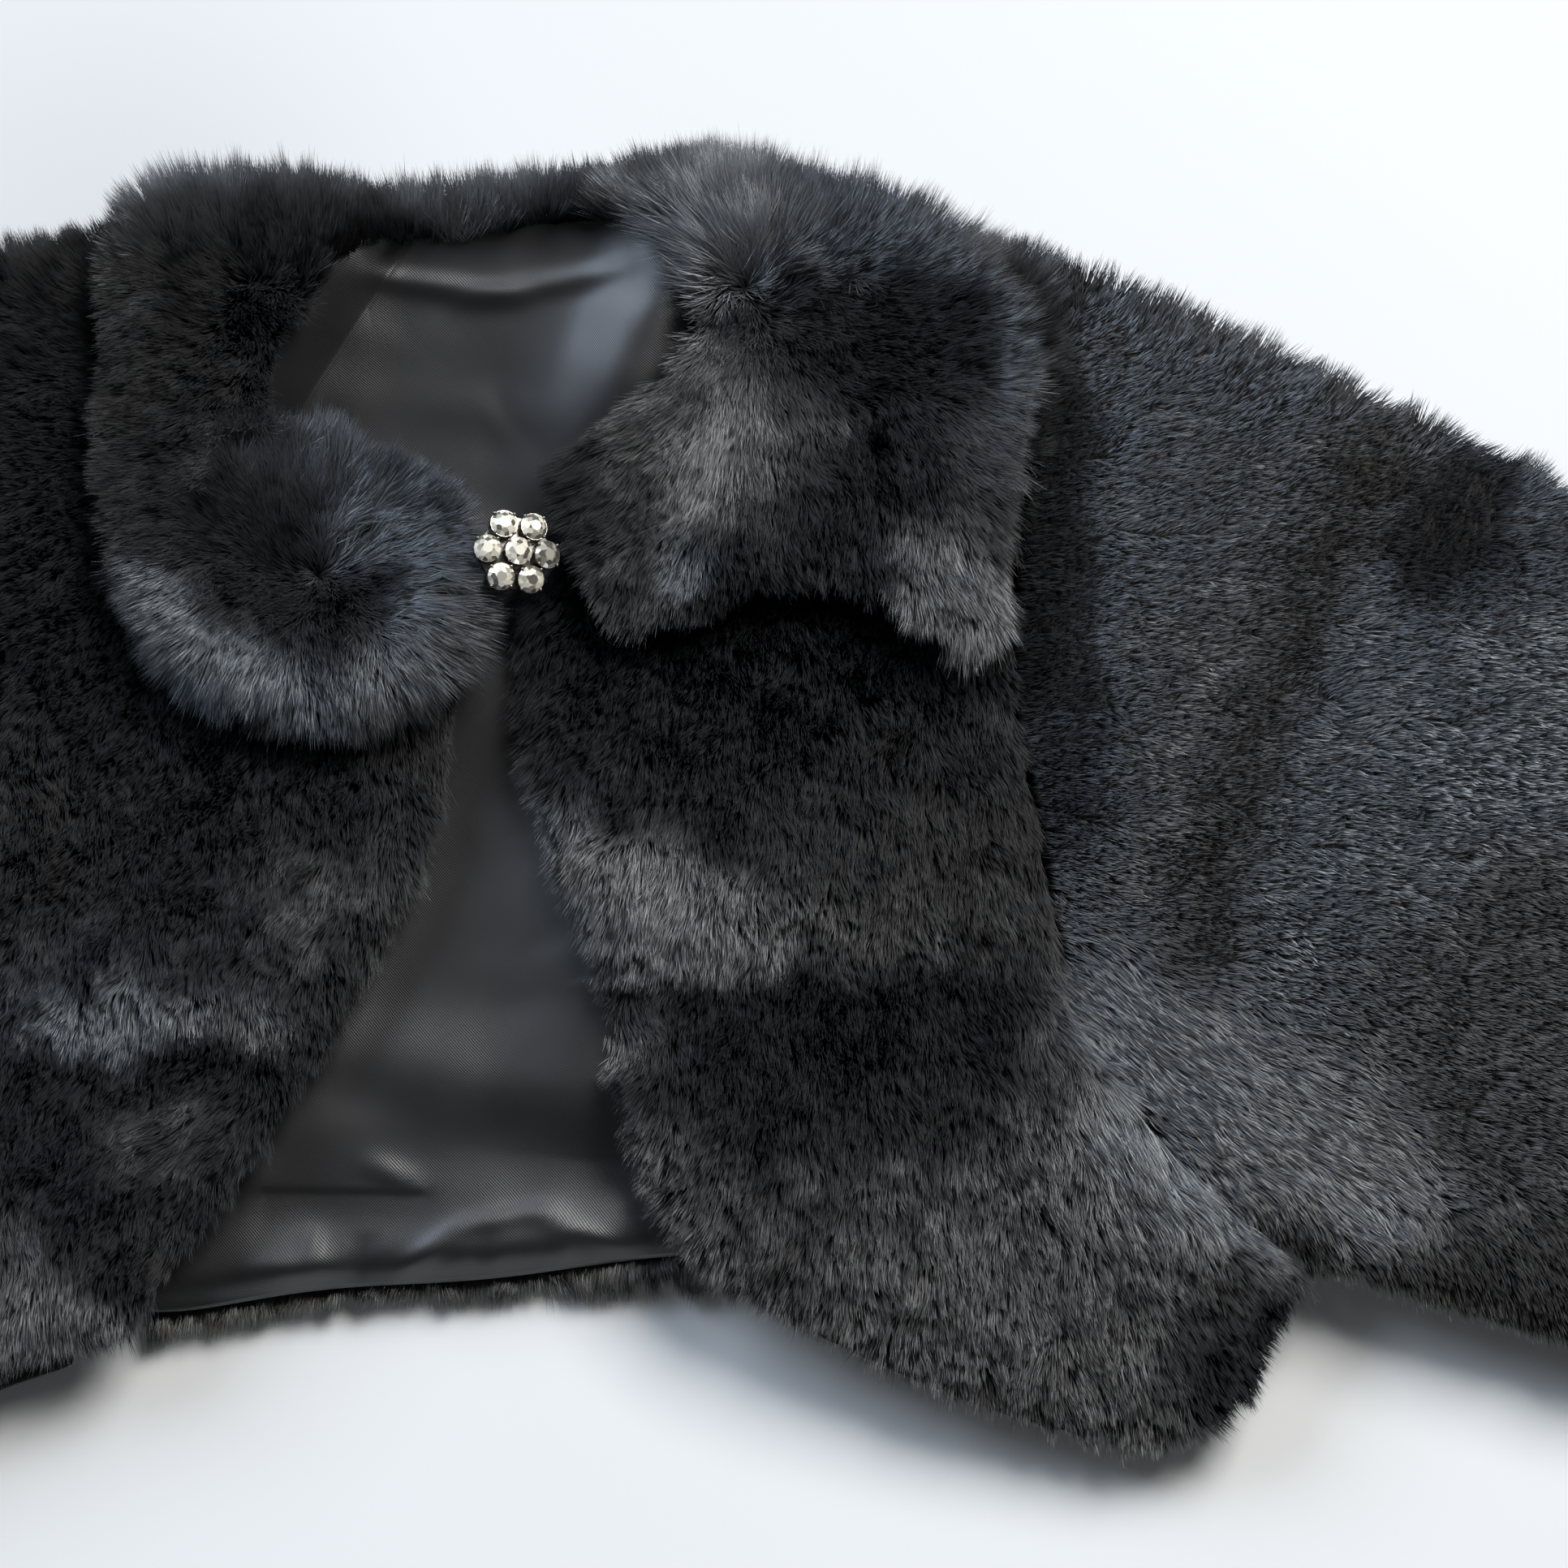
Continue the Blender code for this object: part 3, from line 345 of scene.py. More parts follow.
class SatinSettings(bpy.types.PropertyGroup):
    """Thickness and colour of the lining."""

    thickness: FloatProperty(
        name="Thickness", description="Thickness of the satin", default=0.8 * MM, unit="LENGTH",
    )
    colour: FloatVectorProperty(
        name="Colour", description="Colour of the satin", default=(0.005, 0.005, 0.0055), subtype="COLOR",
    )
    weave: FloatProperty(
        name="Weave", description="Spacing of the satin's threads", default=0.35 * MM, unit="LENGTH",
    )


class ButtonSettings(bpy.types.PropertyGroup):
    """Colours and sizes of the flower button."""

    metal: FloatVectorProperty(
        name="Metal", description="Colour of the setting", default=(0.3, 0.28, 0.25), subtype="COLOR",
    )
    crystal: FloatVectorProperty(
        name="Crystal", description="Colour of the foiled stones", default=(0.97, 0.92, 0.77),
        subtype="COLOR",
    )
    stone: FloatProperty(
        name="Stone", description="Size of a stone against its solid", default=1.16, min=1.0, max=1.2,
    )
    claw: FloatProperty(
        name="Claw", description="Radius of a claw that holds a stone", default=0.45 * MM, unit="LENGTH",
    )


class StageSettings(bpy.types.PropertyGroup):
    """Camera, floor and lights."""

    elevation: FloatProperty(
        name="Elevation", description="The camera's height above the horizon",
        default=math.radians(83), subtype="ANGLE",
    )
    width: FloatProperty(
        name="View width", description="Width of the view at the height of the fur",
        default=0.367, unit="LENGTH",
    )
    lens: FloatProperty(name="Lens", description="Focal length, in millimetres", default=110.0)
    floor: FloatVectorProperty(
        name="Floor", description="Colour of the pale surface", default=(0.725, 0.735, 0.735),
        subtype="COLOR",
    )
    key: FloatProperty(name="Key light", description="Power of the main light, in watts", default=88.0)
    window: FloatProperty(
        name="Window light", description="Power of the cool light from the left, in watts", default=47.0,
    )
    fill: FloatProperty(
        name="Fill light", description="Power of the low light from below, in watts", default=2.5,
    )
    sky: FloatProperty(name="Sky", description="Strength of the light from all round", default=0.06)


class BoleroSettings(bpy.types.PropertyGroup):
    """Everything that a user would change."""

    pile: PointerProperty(type=PileSettings)
    satin: PointerProperty(type=SatinSettings)
    button: PointerProperty(type=ButtonSettings)
    stage: PointerProperty(type=StageSettings)


# Materials

# colour at a hair's root: painted shade deep in the pile, and the dark end of the backing's grain
ROOT_COLOUR = (0.007, 0.007, 0.008)
# painted sheen colours of the hair's gloss, brownish to bluish by each hair's tint
WARM_PAINTED_SHEEN = (0.74, 0.725, 0.705)
COOL_PAINTED_SHEEN = (0.80, 0.90, 1.0)
THREAD_SCALE = 0.314  # of the wave texture, for threads a metre apart
PAINTED_SHADOW_PLACE = (-0.1, 0.14, 0.0)  # the middle of the painted shadow on the floor
PAINTED_SHADOW_REACH = 0.11
PAINTED_SHADE_SLANT = -0.25  # painted shade deepens on the floor along a line that leans by this


def new_material(name):
    material = bpy.data.materials.new(name)
    material.use_nodes = True
    return material, material.node_tree, material.node_tree.nodes["Principled BSDF"]


def set_inputs(tree, node, inputs):
    """Links the inputs that come from other nodes, and sets the others on their sockets."""
    for name, value in inputs.items():
        if isinstance(value, bpy.types.NodeSocket):
            tree.links.new(value, node.inputs[name])
        else:
            node.inputs[name].default_value = value


def add_node(tree, kind, inputs, result, **values):
    """A new node's output of the given name."""
    node = tree.nodes.new(kind)
    for name, value in values.items():
        setattr(node, name, value)
    set_inputs(tree, node, inputs)
    return node.outputs[result]


def colour_mix(tree, share, *colours):
    first, second = (c if isinstance(c, bpy.types.NodeSocket) else (*c, 1.0) for c in colours)
    return add_node(tree, "ShaderNodeMix", {"Factor": share, 6: first, 7: second}, 2, data_type="RGBA")


def shade(colour, share):
    return tuple(share * channel for channel in colour)


def own_place(tree):
    return add_node(tree, "ShaderNodeTexCoord", {}, "Object")


def attribute(tree, name):
    return add_node(tree, "ShaderNodeAttribute", {}, "Fac", attribute_name=name)


def noise(tree, scale, detail):
    inputs = {"Vector": own_place(tree), "Scale": scale, "Detail": detail}
    return add_node(tree, "ShaderNodeTexNoise", inputs, "Fac")


def bump(tree, height, strength, distance):
    inputs = {"Height": height, "Strength": strength, "Distance": distance}
    return add_node(tree, "ShaderNodeBump", inputs, "Normal")


def spread(tree, share, low, high):
    inputs = {"Value": share, "To Min": low, "To Max": high}
    return add_node(tree, "ShaderNodeMapRange", inputs, "Result")


def hair_material(pile):
    """Black hairs that run from brownish to bluish, with painted shade towards the root and a painted sheen
    colour on their gloss.
    """
    material, tree, surface = new_material("black_hair")
    tint = attribute(tree, "tint")
    body = colour_mix(tree, tint, pile.warm, pile.cool)
    set_inputs(tree, surface, {
        # painted shade towards each hair's root
        "Base Color": colour_mix(tree, attribute(tree, "along"), ROOT_COLOUR, body),
        # painted sheen colour, warm to cool by the hair's tint
        "Specular Tint": colour_mix(tree, tint, WARM_PAINTED_SHEEN, COOL_PAINTED_SHEEN),
        "Roughness": 0.42,
        "Specular IOR Level": 1.0,
    })
    return material


def backing_material(pile):
    """The knit that the hairs stand in, nearly black, with the grain of packed roots."""
    material, tree, surface = new_material("fur_backing")
    grain = noise(tree, 900.0, 3.0)
    set_inputs(tree, surface, {
        "Base Color": colour_mix(tree, grain, ROOT_COLOUR, pile.warm),
        "Normal": bump(tree, grain, 0.6, 0.6 * MM),
        "Roughness": 0.9,
        "Specular IOR Level": 0.1,
    })
    return material


def satin_material(satin):
    """Black satin: fine threads, a soft gloss, and slight unevenness from wear."""
    material, tree, surface = new_material("black_satin")
    weave = {
        "Vector": own_place(tree), "Scale": THREAD_SCALE / satin.weave, "Distortion": 0.8, "Detail": 1.0,
    }
    threads = add_node(tree, "ShaderNodeTexWave", weave, "Fac", bands_direction="DIAGONAL")
    worn = noise(tree, 60.0, 4.0)
    set_inputs(tree, surface, {
        "Base Color": colour_mix(tree, worn, satin.colour, shade(satin.colour, 1.6)),
        "Normal": bump(tree, threads, 0.25, 0.1 * MM),
        "Roughness": spread(tree, worn, 0.37, 0.48),
        "Specular IOR Level": 0.7,
    })
    return material


def metal_material(button):
    """Bright plated metal with faint polishing marks."""
    material, tree, surface = new_material("silver_metal")
    marks = noise(tree, 1500.0, 4.0)
    set_inputs(tree, surface, {
        "Base Color": colour_mix(tree, marks, button.metal, shade(button.metal, 0.6)),
        "Roughness": spread(tree, marks, 0.28, 0.45),
        "Metallic": 1.0,
    })
    return material


def crystal_material(button):
    """Foiled crystal: each facet's colour is a painted glint, bright or dim at random."""
    material, tree, surface = new_material("foiled_crystal")
    glint_dark_end = shade(button.crystal, 0.1)
    set_inputs(tree, surface, {
        "Base Color": colour_mix(tree, attribute(tree, "painted_glint"), glint_dark_end, button.crystal),
        "Metallic": 0.25,
        "Roughness": 0.12,
        "Coat Weight": 1.0,
        "Coat Roughness": 0.02,
    })
    return material


def floor_material(stage):
    """The pale surface, faintly clouded, with painted shade towards the upper left and a painted shadow
    there.
    """
    material, tree, surface = new_material("pale_surface")
    place = own_place(tree)
    colour = colour_mix(tree, noise(tree, 6.0, 2.0), stage.floor, shade(stage.floor, 0.97))
    x = add_node(tree, "ShaderNodeSeparateXYZ", {"Vector": place}, "X")
    y = add_node(tree, "ShaderNodeSeparateXYZ", {"Vector": place}, "Y")
    painted_shade_line = add_node(tree, "ShaderNodeMath", {0: x, 1: PAINTED_SHADE_SLANT, 2: y}, "Value", operation="MULTIPLY_ADD")
    span = {"Value": painted_shade_line, "From Min": -0.2, "From Max": 0.25}
    far = add_node(tree, "ShaderNodeMapRange", span, "Result")
    # painted shade, deepening along the slanting line
    colour = colour_mix(tree, far, colour, shade(stage.floor, 0.83))
    # painted shadow, darkest at its middle near the upper left
    away = add_node(tree, "ShaderNodeVectorMath", {0: place, 1: PAINTED_SHADOW_PLACE}, "Value", operation="DISTANCE")
    span = {"Value": away, "From Min": 0.0, "From Max": PAINTED_SHADOW_REACH, "To Min": 0.8, "To Max": 0.0}
    painted_shadow = add_node(tree, "ShaderNodeMapRange", span, "Result", interpolation_type="SMOOTHSTEP")
    set_inputs(tree, surface, {
        "Base Color": colour_mix(tree, painted_shadow, colour, shade(stage.floor, 0.7)),
        "Roughness": 0.7,
    })
    return material


# Meshes from the frame

def node_bmesh(name):
    """A merged copy of a node's mesh, with quads in place of pairs of triangles."""
    bm = bmesh.new()
    bm.from_mesh(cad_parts[name].data)
    bmesh.ops.remove_doubles(bm, verts=bm.verts[:], dist=MERGE_DISTANCE)
    bmesh.ops.join_triangles(
        bm, faces=bm.faces[:], angle_face_threshold=QUAD_BEND, angle_shape_threshold=QUAD_SKEW,
    )
    bm.normal_update()
    return bm


def node_tree(name):
    bm = node_bmesh(name)
    tree = BVHTree.FromBMesh(bm)
    bm.free()
    return tree


TREES = {name: node_tree(name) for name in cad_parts}


def keep_faces(bm, test):
    away = [face for face in bm.faces if not test(face)]
    bmesh.ops.delete(bm, geom=away, context="FACES")


def finer(bm, levels):
    """The same surface, subdivided and smoothed."""
    mesh = bpy.data.meshes.new("finer")
    bm.to_mesh(mesh)
    bm.free()
    obj = bpy.data.objects.new("finer", mesh)
    bpy.context.scene.collection.objects.link(obj)
    smooth = obj.modifiers.new("smooth", "SUBSURF")
    smooth.levels = smooth.render_levels = levels
    graph = bpy.context.evaluated_depsgraph_get()
    fine = bmesh.new()
    fine.from_mesh(obj.evaluated_get(graph).to_mesh())
    bpy.data.objects.remove(obj)
    bpy.data.meshes.remove(mesh)
    fine.normal_update()
    return fine


def new_piece(name, bm, material, smooth=True):
    """A finished piece at the origin, riding on the garment's body."""
    mesh = bpy.data.meshes.new(name)
    bm.to_mesh(mesh)
    bm.free()
    mesh.polygons.foreach_set("use_smooth", [smooth] * len(mesh.polygons))
    return place_piece(name, mesh, material)


def place_piece(name, mesh, material):
    mesh.materials.append(material)
    piece = bpy.data.objects.new(name, mesh)
    bpy.context.scene.collection.objects.link(piece)
    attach(piece, BODY)
    return piece


def sewn(own, point):
    """Whether a point on a piece's edge lies along a seam."""
    reach = BACK_SEAM_REACH if own == "back" else SEAM_REACH
    return any(TREES[name].find_nearest(point, reach)[0] is not None for name in SEWN_TO[own])


def draw_in(bm, own, inset):
    """Pulls a panel in from its free edges, so that its hairs end where its solid does."""
    reach = DRAW_REACH * inset
    rim = [v for v in bm.verts if v.is_boundary and not sewn(own, v.co)]
    outward = []
    for vert in rim:
        total = Vector((0.0, 0.0))
        for edge in vert.link_edges:
            if edge.is_boundary:
                run = (edge.verts[1].co - edge.verts[0].co).xy.normalized()
                away = (edge.verts[0].co - edge.link_faces[0].calc_center_median()).xy
                total += (away - run * away.dot(run)).normalized()
        outward.append(total.normalized())
    places = np.array([v.co.xy for v in rim])
    outward = np.array(outward)
    every = np.array([v.co.xy for v in bm.verts if v.is_boundary])
    spans = every[None] - places[:, None]
    far = np.linalg.norm(spans, axis=2) + 1e-9
    ahead = -(spans * outward[:, None]).sum(2) / far > ACROSS
    width = np.where(ahead & (far > MM), far, 1.0).min(axis=1)
    pull = np.minimum(inset, NARROW_PULL * width)
    limit = np.minimum(reach, NARROW_REACH * width)
    seam = np.array([v.co.xy for v in bm.verts if v.is_boundary and sewn(own, v.co)] or [NOWHERE])
    for vert in bm.verts:
        gap = np.linalg.norm(places - np.array(vert.co.xy), axis=1)
        free = min(1.0, np.linalg.norm(seam - np.array(vert.co.xy), axis=1).min() / (SEAM_FADE * inset))
        share = free * (1 - gap / limit).clip(0) ** 2
        weight = share / (gap + NEAREST) ** 2
        if weight.sum() > 0:
            move = (outward * (pull * share * weight)[:, None]).sum(0) / weight.sum()
            vert.co.x -= move[0]
            vert.co.y -= move[1]


def ease(bm, own):
    """Moves a panel's cloth a little, where it lies looser or tighter than its solid."""
    for row in EASES.get(own, ()):
        middle = Vector((row.x, row.y)) * MM
        for vert in bm.verts:
            share = math.exp(-((vert.co.xy - middle).length / (row.radius * MM)) ** 2)
            vert.co.x += share * row.dx * MM
            vert.co.y += share * row.dy * MM
            vert.co.z = max(vert.co.z + share * row.dz * MM, min(vert.co.z, FLOOR_GAP))


def crease_height(points, creases):
    """What soft ridges and troughs add at each point in plan, in metres."""
    total = np.zeros(len(points))
    for crease in creases:
        start = np.array((crease.x1, crease.y1)) * MM
        run = np.array((crease.x2, crease.y2)) * MM - start
        offset = points - start
        share = (offset @ run / (run @ run)).clip(0, 1)
        gap = np.linalg.norm(offset - share[:, None] * run, axis=1)
        fade = np.sin(math.pi * share)
        total += crease.rise * MM * fade * np.exp(-((gap / (crease.half_width * MM)) ** 2))
    return total


def step_height(points, steps):
    """What a folded edge takes away on its left, where the cloth then climbs again, in metres."""
    total = np.zeros(len(points))
    for step in steps:
        start = np.array((step.x1, step.y1)) * MM
        run = np.array((step.x2, step.y2)) * MM - start
        size = np.linalg.norm(run)
        offset = points - start
        share = offset @ run / size**2
        left = (offset[:, 1] * run[0] - offset[:, 0] * run[1]) / size
        fade = np.exp(-((np.maximum(np.abs(share - 0.5) - 0.5, 0) * size / STEP_FADE) ** 2))
        edge = (-left / (STEP_SHARP * step.half_width * MM)).clip(-EXP_LIMIT, EXP_LIMIT)
        side = 1 / (1 + np.exp(edge))
        total += fade * side * (step.slope * left.clip(0, STEP_CLIMB) - step.drop * MM)
    return total


def refine_along(bm, steps):
    """Splits the faces along folded edges, so that they stay crisp."""
    for step in steps:
        start = Vector((step.x1, step.y1)) * MM
        end = Vector((step.x2, step.y2)) * MM
        near = set()
        for edge in bm.edges:
            middle = (0.5 * (edge.verts[0].co + edge.verts[1].co)).xy
            share = max(0.0, min(1.0, (middle - start).dot(end - start) / (end - start).length_squared))
            if (middle - start.lerp(end, share)).length < STEP_REACH:
                near.add(edge)
        bmesh.ops.subdivide_edges(bm, edges=list(near), cuts=STEP_CUTS, use_grid_fill=True)


def thicken(bm, thickness):
    bmesh.ops.solidify(bm, geom=bm.faces[:], thickness=thickness)
    bmesh.ops.recalc_face_normals(bm, faces=bm.faces[:])


def lay_sheet(piece, node):
    """Hides the solid of the node that the piece stands in for."""
    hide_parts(node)


# Fur. Angles are in radians, and a stray is the spread of a lock, a tuft or a hair about the nap.

LYING = math.radians(12)  # pile that shines at this rise or less lies down
STANDING = math.radians(34)  # and at this rise or more it stands
LAID_LONGER = 0.35  # how much more of a hair shows where the pile lies down
HAND_LAID = math.radians(60)  # pile whose lift the table sets below this shows longer
GLEAM_TURN = math.radians(-27)  # of the way that the pile shines from the way that it lies
UPRIGHT = 0.85  # how far the pile's rise is counted from level, not from the backing
NAP_SOFT = 3 * MM  # added to the distance from a row, so that none rules alone
NAP_POWER = -3.5
WAVES = 6
WAVE_PITCH = (0.6, 1.6)
WAVE_SUM = 3.5  # what so many waves seldom add up to
ABOVE = 0.3 * MM  # from a point to where another piece is looked for above it
AHEAD = 7 * MM  # from a root to about where its hair ends
PILE_SHOWS = -0.25  # least rise of a face's normal that has pile
BACK_SHOWS = (-0.9, 0.97)
LOCK_STRAY = 0.75
TUFT_STRAY = 0.5
HAIR_STRAY = 0.6
TURN_STRAY = 0.14
TURN_LOST = 0.8  # added where the rows disagree on the heading
TURN_RIPPLE = 0.25
TURN_PITCH = 18 * MM
RISE_STRAY = 0.07
RISE_LOST = 0.15
LOST_RISE = 1.35
RISE_RIPPLE = 0.08
RISE_PITCH = 12 * MM
RISE_RANGE = (-0.35, 1.45)
EDGE_LEVEL = 0.5  # the backing is steep, as at an edge, where its normal rises no more than this
EDGE_SPAN = 0.4
LOST_UPRIGHT = 1.3
UPRIGHT_STRAY = 0.08
UPRIGHT_RANGE = (0.06, 1.45)
LENGTH_STRAY = 0.1
LENGTH_RANGE = (0.6, 1.25)
LOCK_PULL = (0.15, 0.45)  # how far tips are drawn to their lock's lead
TUFT_PULL = (0.05, 0.15)
TIP_LEAST = 0.3 * MM  # above the floor
TINT_RIPPLE = 0.08
TINT_PITCH = 30 * MM
TINT_STRAY = 0.05
TINT_HAIR = 0.06
ROLL = 0.6  # most that a hair is turned about itself
ROLL_SHADE = 0.5
BAKE_MARGIN = 0.01
BAKE_HALF = 0.005


def unit(vectors):
    return vectors / np.linalg.norm(vectors, axis=-1, keepdims=True)


def nap_at(points, rows):
    """The pile's nap at each point in plan, blended from a table.

    Gives heading, rise, agreement of the headings, tint, lift, and the share of the lift that the table sets.
    """
    table = np.array(rows, float)
    gap = np.linalg.norm(points[:, None] - table[None, :, :2] * MM, axis=2) + NAP_SOFT
    weight = gap**NAP_POWER
    weight /= weight.sum(1, keepdims=True)
    turn = np.radians(table[:, 2])
    along, across = weight @ np.cos(turn), weight @ np.sin(turn)
    rise = np.radians(weight @ table[:, 3])
    set_share = weight @ (table[:, 5] > 0)
    lift = np.radians(weight @ table[:, 5])
    return np.arctan2(across, along), rise, np.hypot(along, across), weight @ table[:, 4], lift, set_share


def ripple(points, size, seed):
    """Smooth unevenness from -1 to 1, a few waves added up."""
    rng = np.random.default_rng(seed)
    total = np.zeros(len(points))
    for _ in range(WAVES):
        turn = rng.uniform(0, 2 * math.pi)
        pitch = size * rng.uniform(*WAVE_PITCH)
        wave = points @ np.array((math.cos(turn), math.sin(turn))) * 2 * math.pi / pitch
        total += np.sin(wave + rng.uniform(0, 2 * math.pi))
    return total / WAVE_SUM


def covered(point, own):
    """Whether another piece lies straight above a point."""
    start = point + ABOVE * UP
    return any(tree.ray_cast(start, UP)[0] is not None for name, tree in TREES.items() if name != own)


def open_faces(bm, own, rows):
    """How much of each face's share of hairs shows: none where another piece lies on it."""
    shares = np.ones(len(bm.faces))
    least, most = BACK_SHOWS if own == "back" else (PILE_SHOWS, math.inf)
    for i, face in enumerate(bm.faces):
        centre = face.calc_center_median()
        heading = nap_at(np.array([centre.xy]), rows)[0][0]
        ahead = centre + AHEAD * Vector((math.cos(heading), math.sin(heading), 0.0))
        shows = least < face.normal.z < most
        if not shows or (covered(centre, own) and covered(ahead, own)):
            shares[i] = 0.0
    return shares


def roots_on(bm, shares, count, rng):
    """Roots spread over a surface, with the surface's normal at each."""
    corners = np.array([[v.co for v in face.verts] for face in bm.faces])
    normals = np.array([[v.normal for v in face.verts] for face in bm.faces])
    area = np.array([face.calc_area() for face in bm.faces]) * shares
    pick = rng.choice(len(area), size=count, p=area / area.sum())
    a, b = rng.random((2, count))
    flip = a + b > 1
    a[flip], b[flip] = 1 - a[flip], 1 - b[flip]
    weights = np.stack([1 - a - b, a, b], axis=1)[..., None]
    return (corners[pick] * weights).sum(1), unit((normals[pick] * weights).sum(1))


def locks_of(roots, size, rng):
    """The lock that each hair leans into, and the way to the root that leads it."""
    lead = rng.choice(len(roots), size=len(roots) // size, replace=False)
    finder = KDTree(len(lead))
    for i, root in enumerate(roots[lead]):
        finder.insert(root, i)
    finder.balance()
    lock = np.array([finder.find(root)[1] for root in roots])
    return lock, roots[lead][lock] - roots


def flow_along(heading, up):
    """The way of each heading, square to each hair's own up."""
    flow = np.stack([np.cos(heading), np.sin(heading), np.zeros(len(heading))], axis=1)
    return unit(flow - (flow * up).sum(1, keepdims=True) * up)


def comb(roots, normals, rows, coat, pile, rng, seed):
    """Where each hair's tip comes to, which way it shines, and its tint.

    Hairs are drawn together into locks and into tufts. On the flat they stand up at least as far as their
    coat says. At an edge they are longer and lie as the table says, as they do where it sets their lift.
    """
    count = len(roots)
    plan = roots[:, :2]
    heading, rise, agree, cool, lift, set_share = nap_at(plan, rows)
    lost = 1 - agree
    lock, to_lock = locks_of(roots, coat.lock, rng)
    tuft, to_tuft = locks_of(roots, pile.tuft, rng)
    loose = rng.normal(0, 1, (3, count))
    lean = LOCK_STRAY * rng.normal(0, 1, (3, lock.max() + 1))[:, lock]
    lean += TUFT_STRAY * rng.normal(0, 1, (3, tuft.max() + 1))[:, tuft] + HAIR_STRAY * loose
    heading = heading + TURN_RIPPLE * coat.uneven * ripple(plan, TURN_PITCH, seed)
    heading = heading + (TURN_STRAY + TURN_LOST * lost) * lean[0]
    rise = rise + RISE_LOST * lost * (LOST_RISE - rise)
    rise = rise + RISE_RIPPLE * coat.uneven * ripple(plan, RISE_PITCH, seed + 1)
    rise = (rise + RISE_STRAY * lean[1]).clip(*RISE_RANGE)
    level = np.abs(normals[:, 2])
    steep = 1 - coat.combed * (1 - ((rise - LYING) / (STANDING - LYING)).clip(0, 1))
    upright = np.maximum(rise, coat.stand * steep * ((level - EDGE_LEVEL) / EDGE_SPAN).clip(0, 1))
    upright = upright * (1 - set_share) + lift
    upright = upright + lost * (LOST_UPRIGHT - upright) + UPRIGHT_STRAY * lean[1]
    upright = upright.clip(*UPRIGHT_RANGE)
    laid = (set_share - lift / HAND_LAID).clip(0, 1)
    reach = coat.length + (coat.edge - coat.length) * np.maximum(1 - level, laid)
    reach *= (1 + LENGTH_STRAY * lean[2]).clip(*LENGTH_RANGE)
    reach *= 1 + LAID_LONGER * (1 - steep)
    up = unit((1 - UPRIGHT) * normals + UPRIGHT * np.array(UP))
    flow = flow_along(heading, up)
    gleam = flow_along(heading + GLEAM_TURN, up)
    tip = roots + reach[:, None] * (up * np.sin(upright)[:, None] + flow * np.cos(upright)[:, None])
    tip += coat.gather * rng.uniform(*LOCK_PULL, (count, 1)) * to_lock
    tip += rng.uniform(*TUFT_PULL, (count, 1)) * to_tuft
    tip[:, 2] = np.maximum(tip[:, 2], TIP_LEAST)
    shine = up * np.sin(rise)[:, None] + gleam * np.cos(rise)[:, None]
    tint = cool + TINT_RIPPLE * ripple(plan, TINT_PITCH, seed + 2) + TINT_STRAY * lean[1]
    return tip, shine, (tint + TINT_HAIR * loose[2]).clip(0, 1)


def strand_mesh(name, roots, tip, shine, pile, tint, rng):
    """Every hair as a tapered blade that shades as if it curved along the given way, in one mesh."""
    count = len(roots)
    run = unit(tip - roots)
    level = unit(np.cross(shine, np.array(UP)) + 1e-6)
    steep = np.cross(level, shine)
    roll = rng.uniform(-ROLL, ROLL, (count, 1))
    face = unit(steep - (steep * run).sum(1, keepdims=True) * run)
    half = 0.5 * pile.width * (np.cos(roll) * np.cross(run, face) + np.sin(roll) * face)
    mesh = bpy.data.meshes.new(name)
    mesh.vertices.add(3 * count)
    mesh.vertices.foreach_set("co", np.stack([roots - half, roots + half, tip], axis=1).ravel())
    mesh.loops.add(3 * count)
    mesh.loops.foreach_set("vertex_index", np.arange(3 * count))
    mesh.polygons.add(count)
    mesh.polygons.foreach_set("loop_start", 3 * np.arange(count))
    mesh.polygons.foreach_set("use_smooth", np.ones(count, bool))
    along = np.tile((0.0, 0.0, 1.0), count)
    for layer, values in (("tint", np.repeat(tint, 3)), ("along", along)):
        mesh.attributes.new(layer, "FLOAT", "POINT").data.foreach_set("value", values)
    side = BAKE_HALF * np.array((-1.0, 1.0, 0.0))
    bake = mesh.uv_layers.new(name="OFBake")
    spread_tint = BAKE_MARGIN + (1 - 2 * BAKE_MARGIN) * tint[:, None] + side
    bake.data.foreach_set("uv", np.stack([spread_tint.ravel().clip(0, 1), along], axis=1).ravel())
    mesh.update(calc_edges=True)
    facing = steep + ROLL_SHADE * roll * level
    bend = math.tan(pile.bend) * shine
    shading = np.stack([facing - bend, facing - bend, facing + bend], axis=1)
    mesh.normals_split_custom_set_from_vertices(unit(shading).reshape(-1, 3))
    return mesh


def grow(panel, bm, coat, pile, material):
    """The pile of one piece, rooted on its backing."""
    rng = np.random.default_rng(panel.seed)
    bm = bm.copy()
    bmesh.ops.triangulate(bm, faces=bm.faces[:])
    bm.normal_update()
    shares = open_faces(bm, panel.node, panel.rows)
    roots, normals = roots_on(bm, shares, panel.hairs, rng)
    bm.free()
    tip, shine, tint = comb(roots, normals, panel.rows, coat, pile, rng, panel.seed)
    name = f"fur_{panel.node}"
    return place_piece(name, strand_mesh(name, roots, tip, shine, pile, tint, rng), material)


def backing_of_panel(node, pile):
    """The outer side of a panel's backing, below the tips of its pile."""
    bm = node_bmesh(node)
    keep_faces(bm, lambda face: face.normal.z > PANEL_SIDE)
    draw_in(bm, node, pile.inset)
    ease(bm, node)
    for vert in bm.verts:
        vert.co.z -= pile.depth
    return finer(bm, 1)


def outer_skin(bm):
    """Keeps the faces that join the topmost one without a sharp fold, so not the inside or the ends."""
    todo = [max(bm.faces, key=lambda face: face.calc_center_median().z)]
    skin = set(todo)
    while todo:
        for edge in todo.pop().edges:
            if edge.calc_face_angle() < SHARP_FOLD:
                fresh = [face for face in edge.link_faces if face not in skin]
                skin.update(fresh)
                todo += fresh
    keep_faces(bm, lambda face: face in skin)


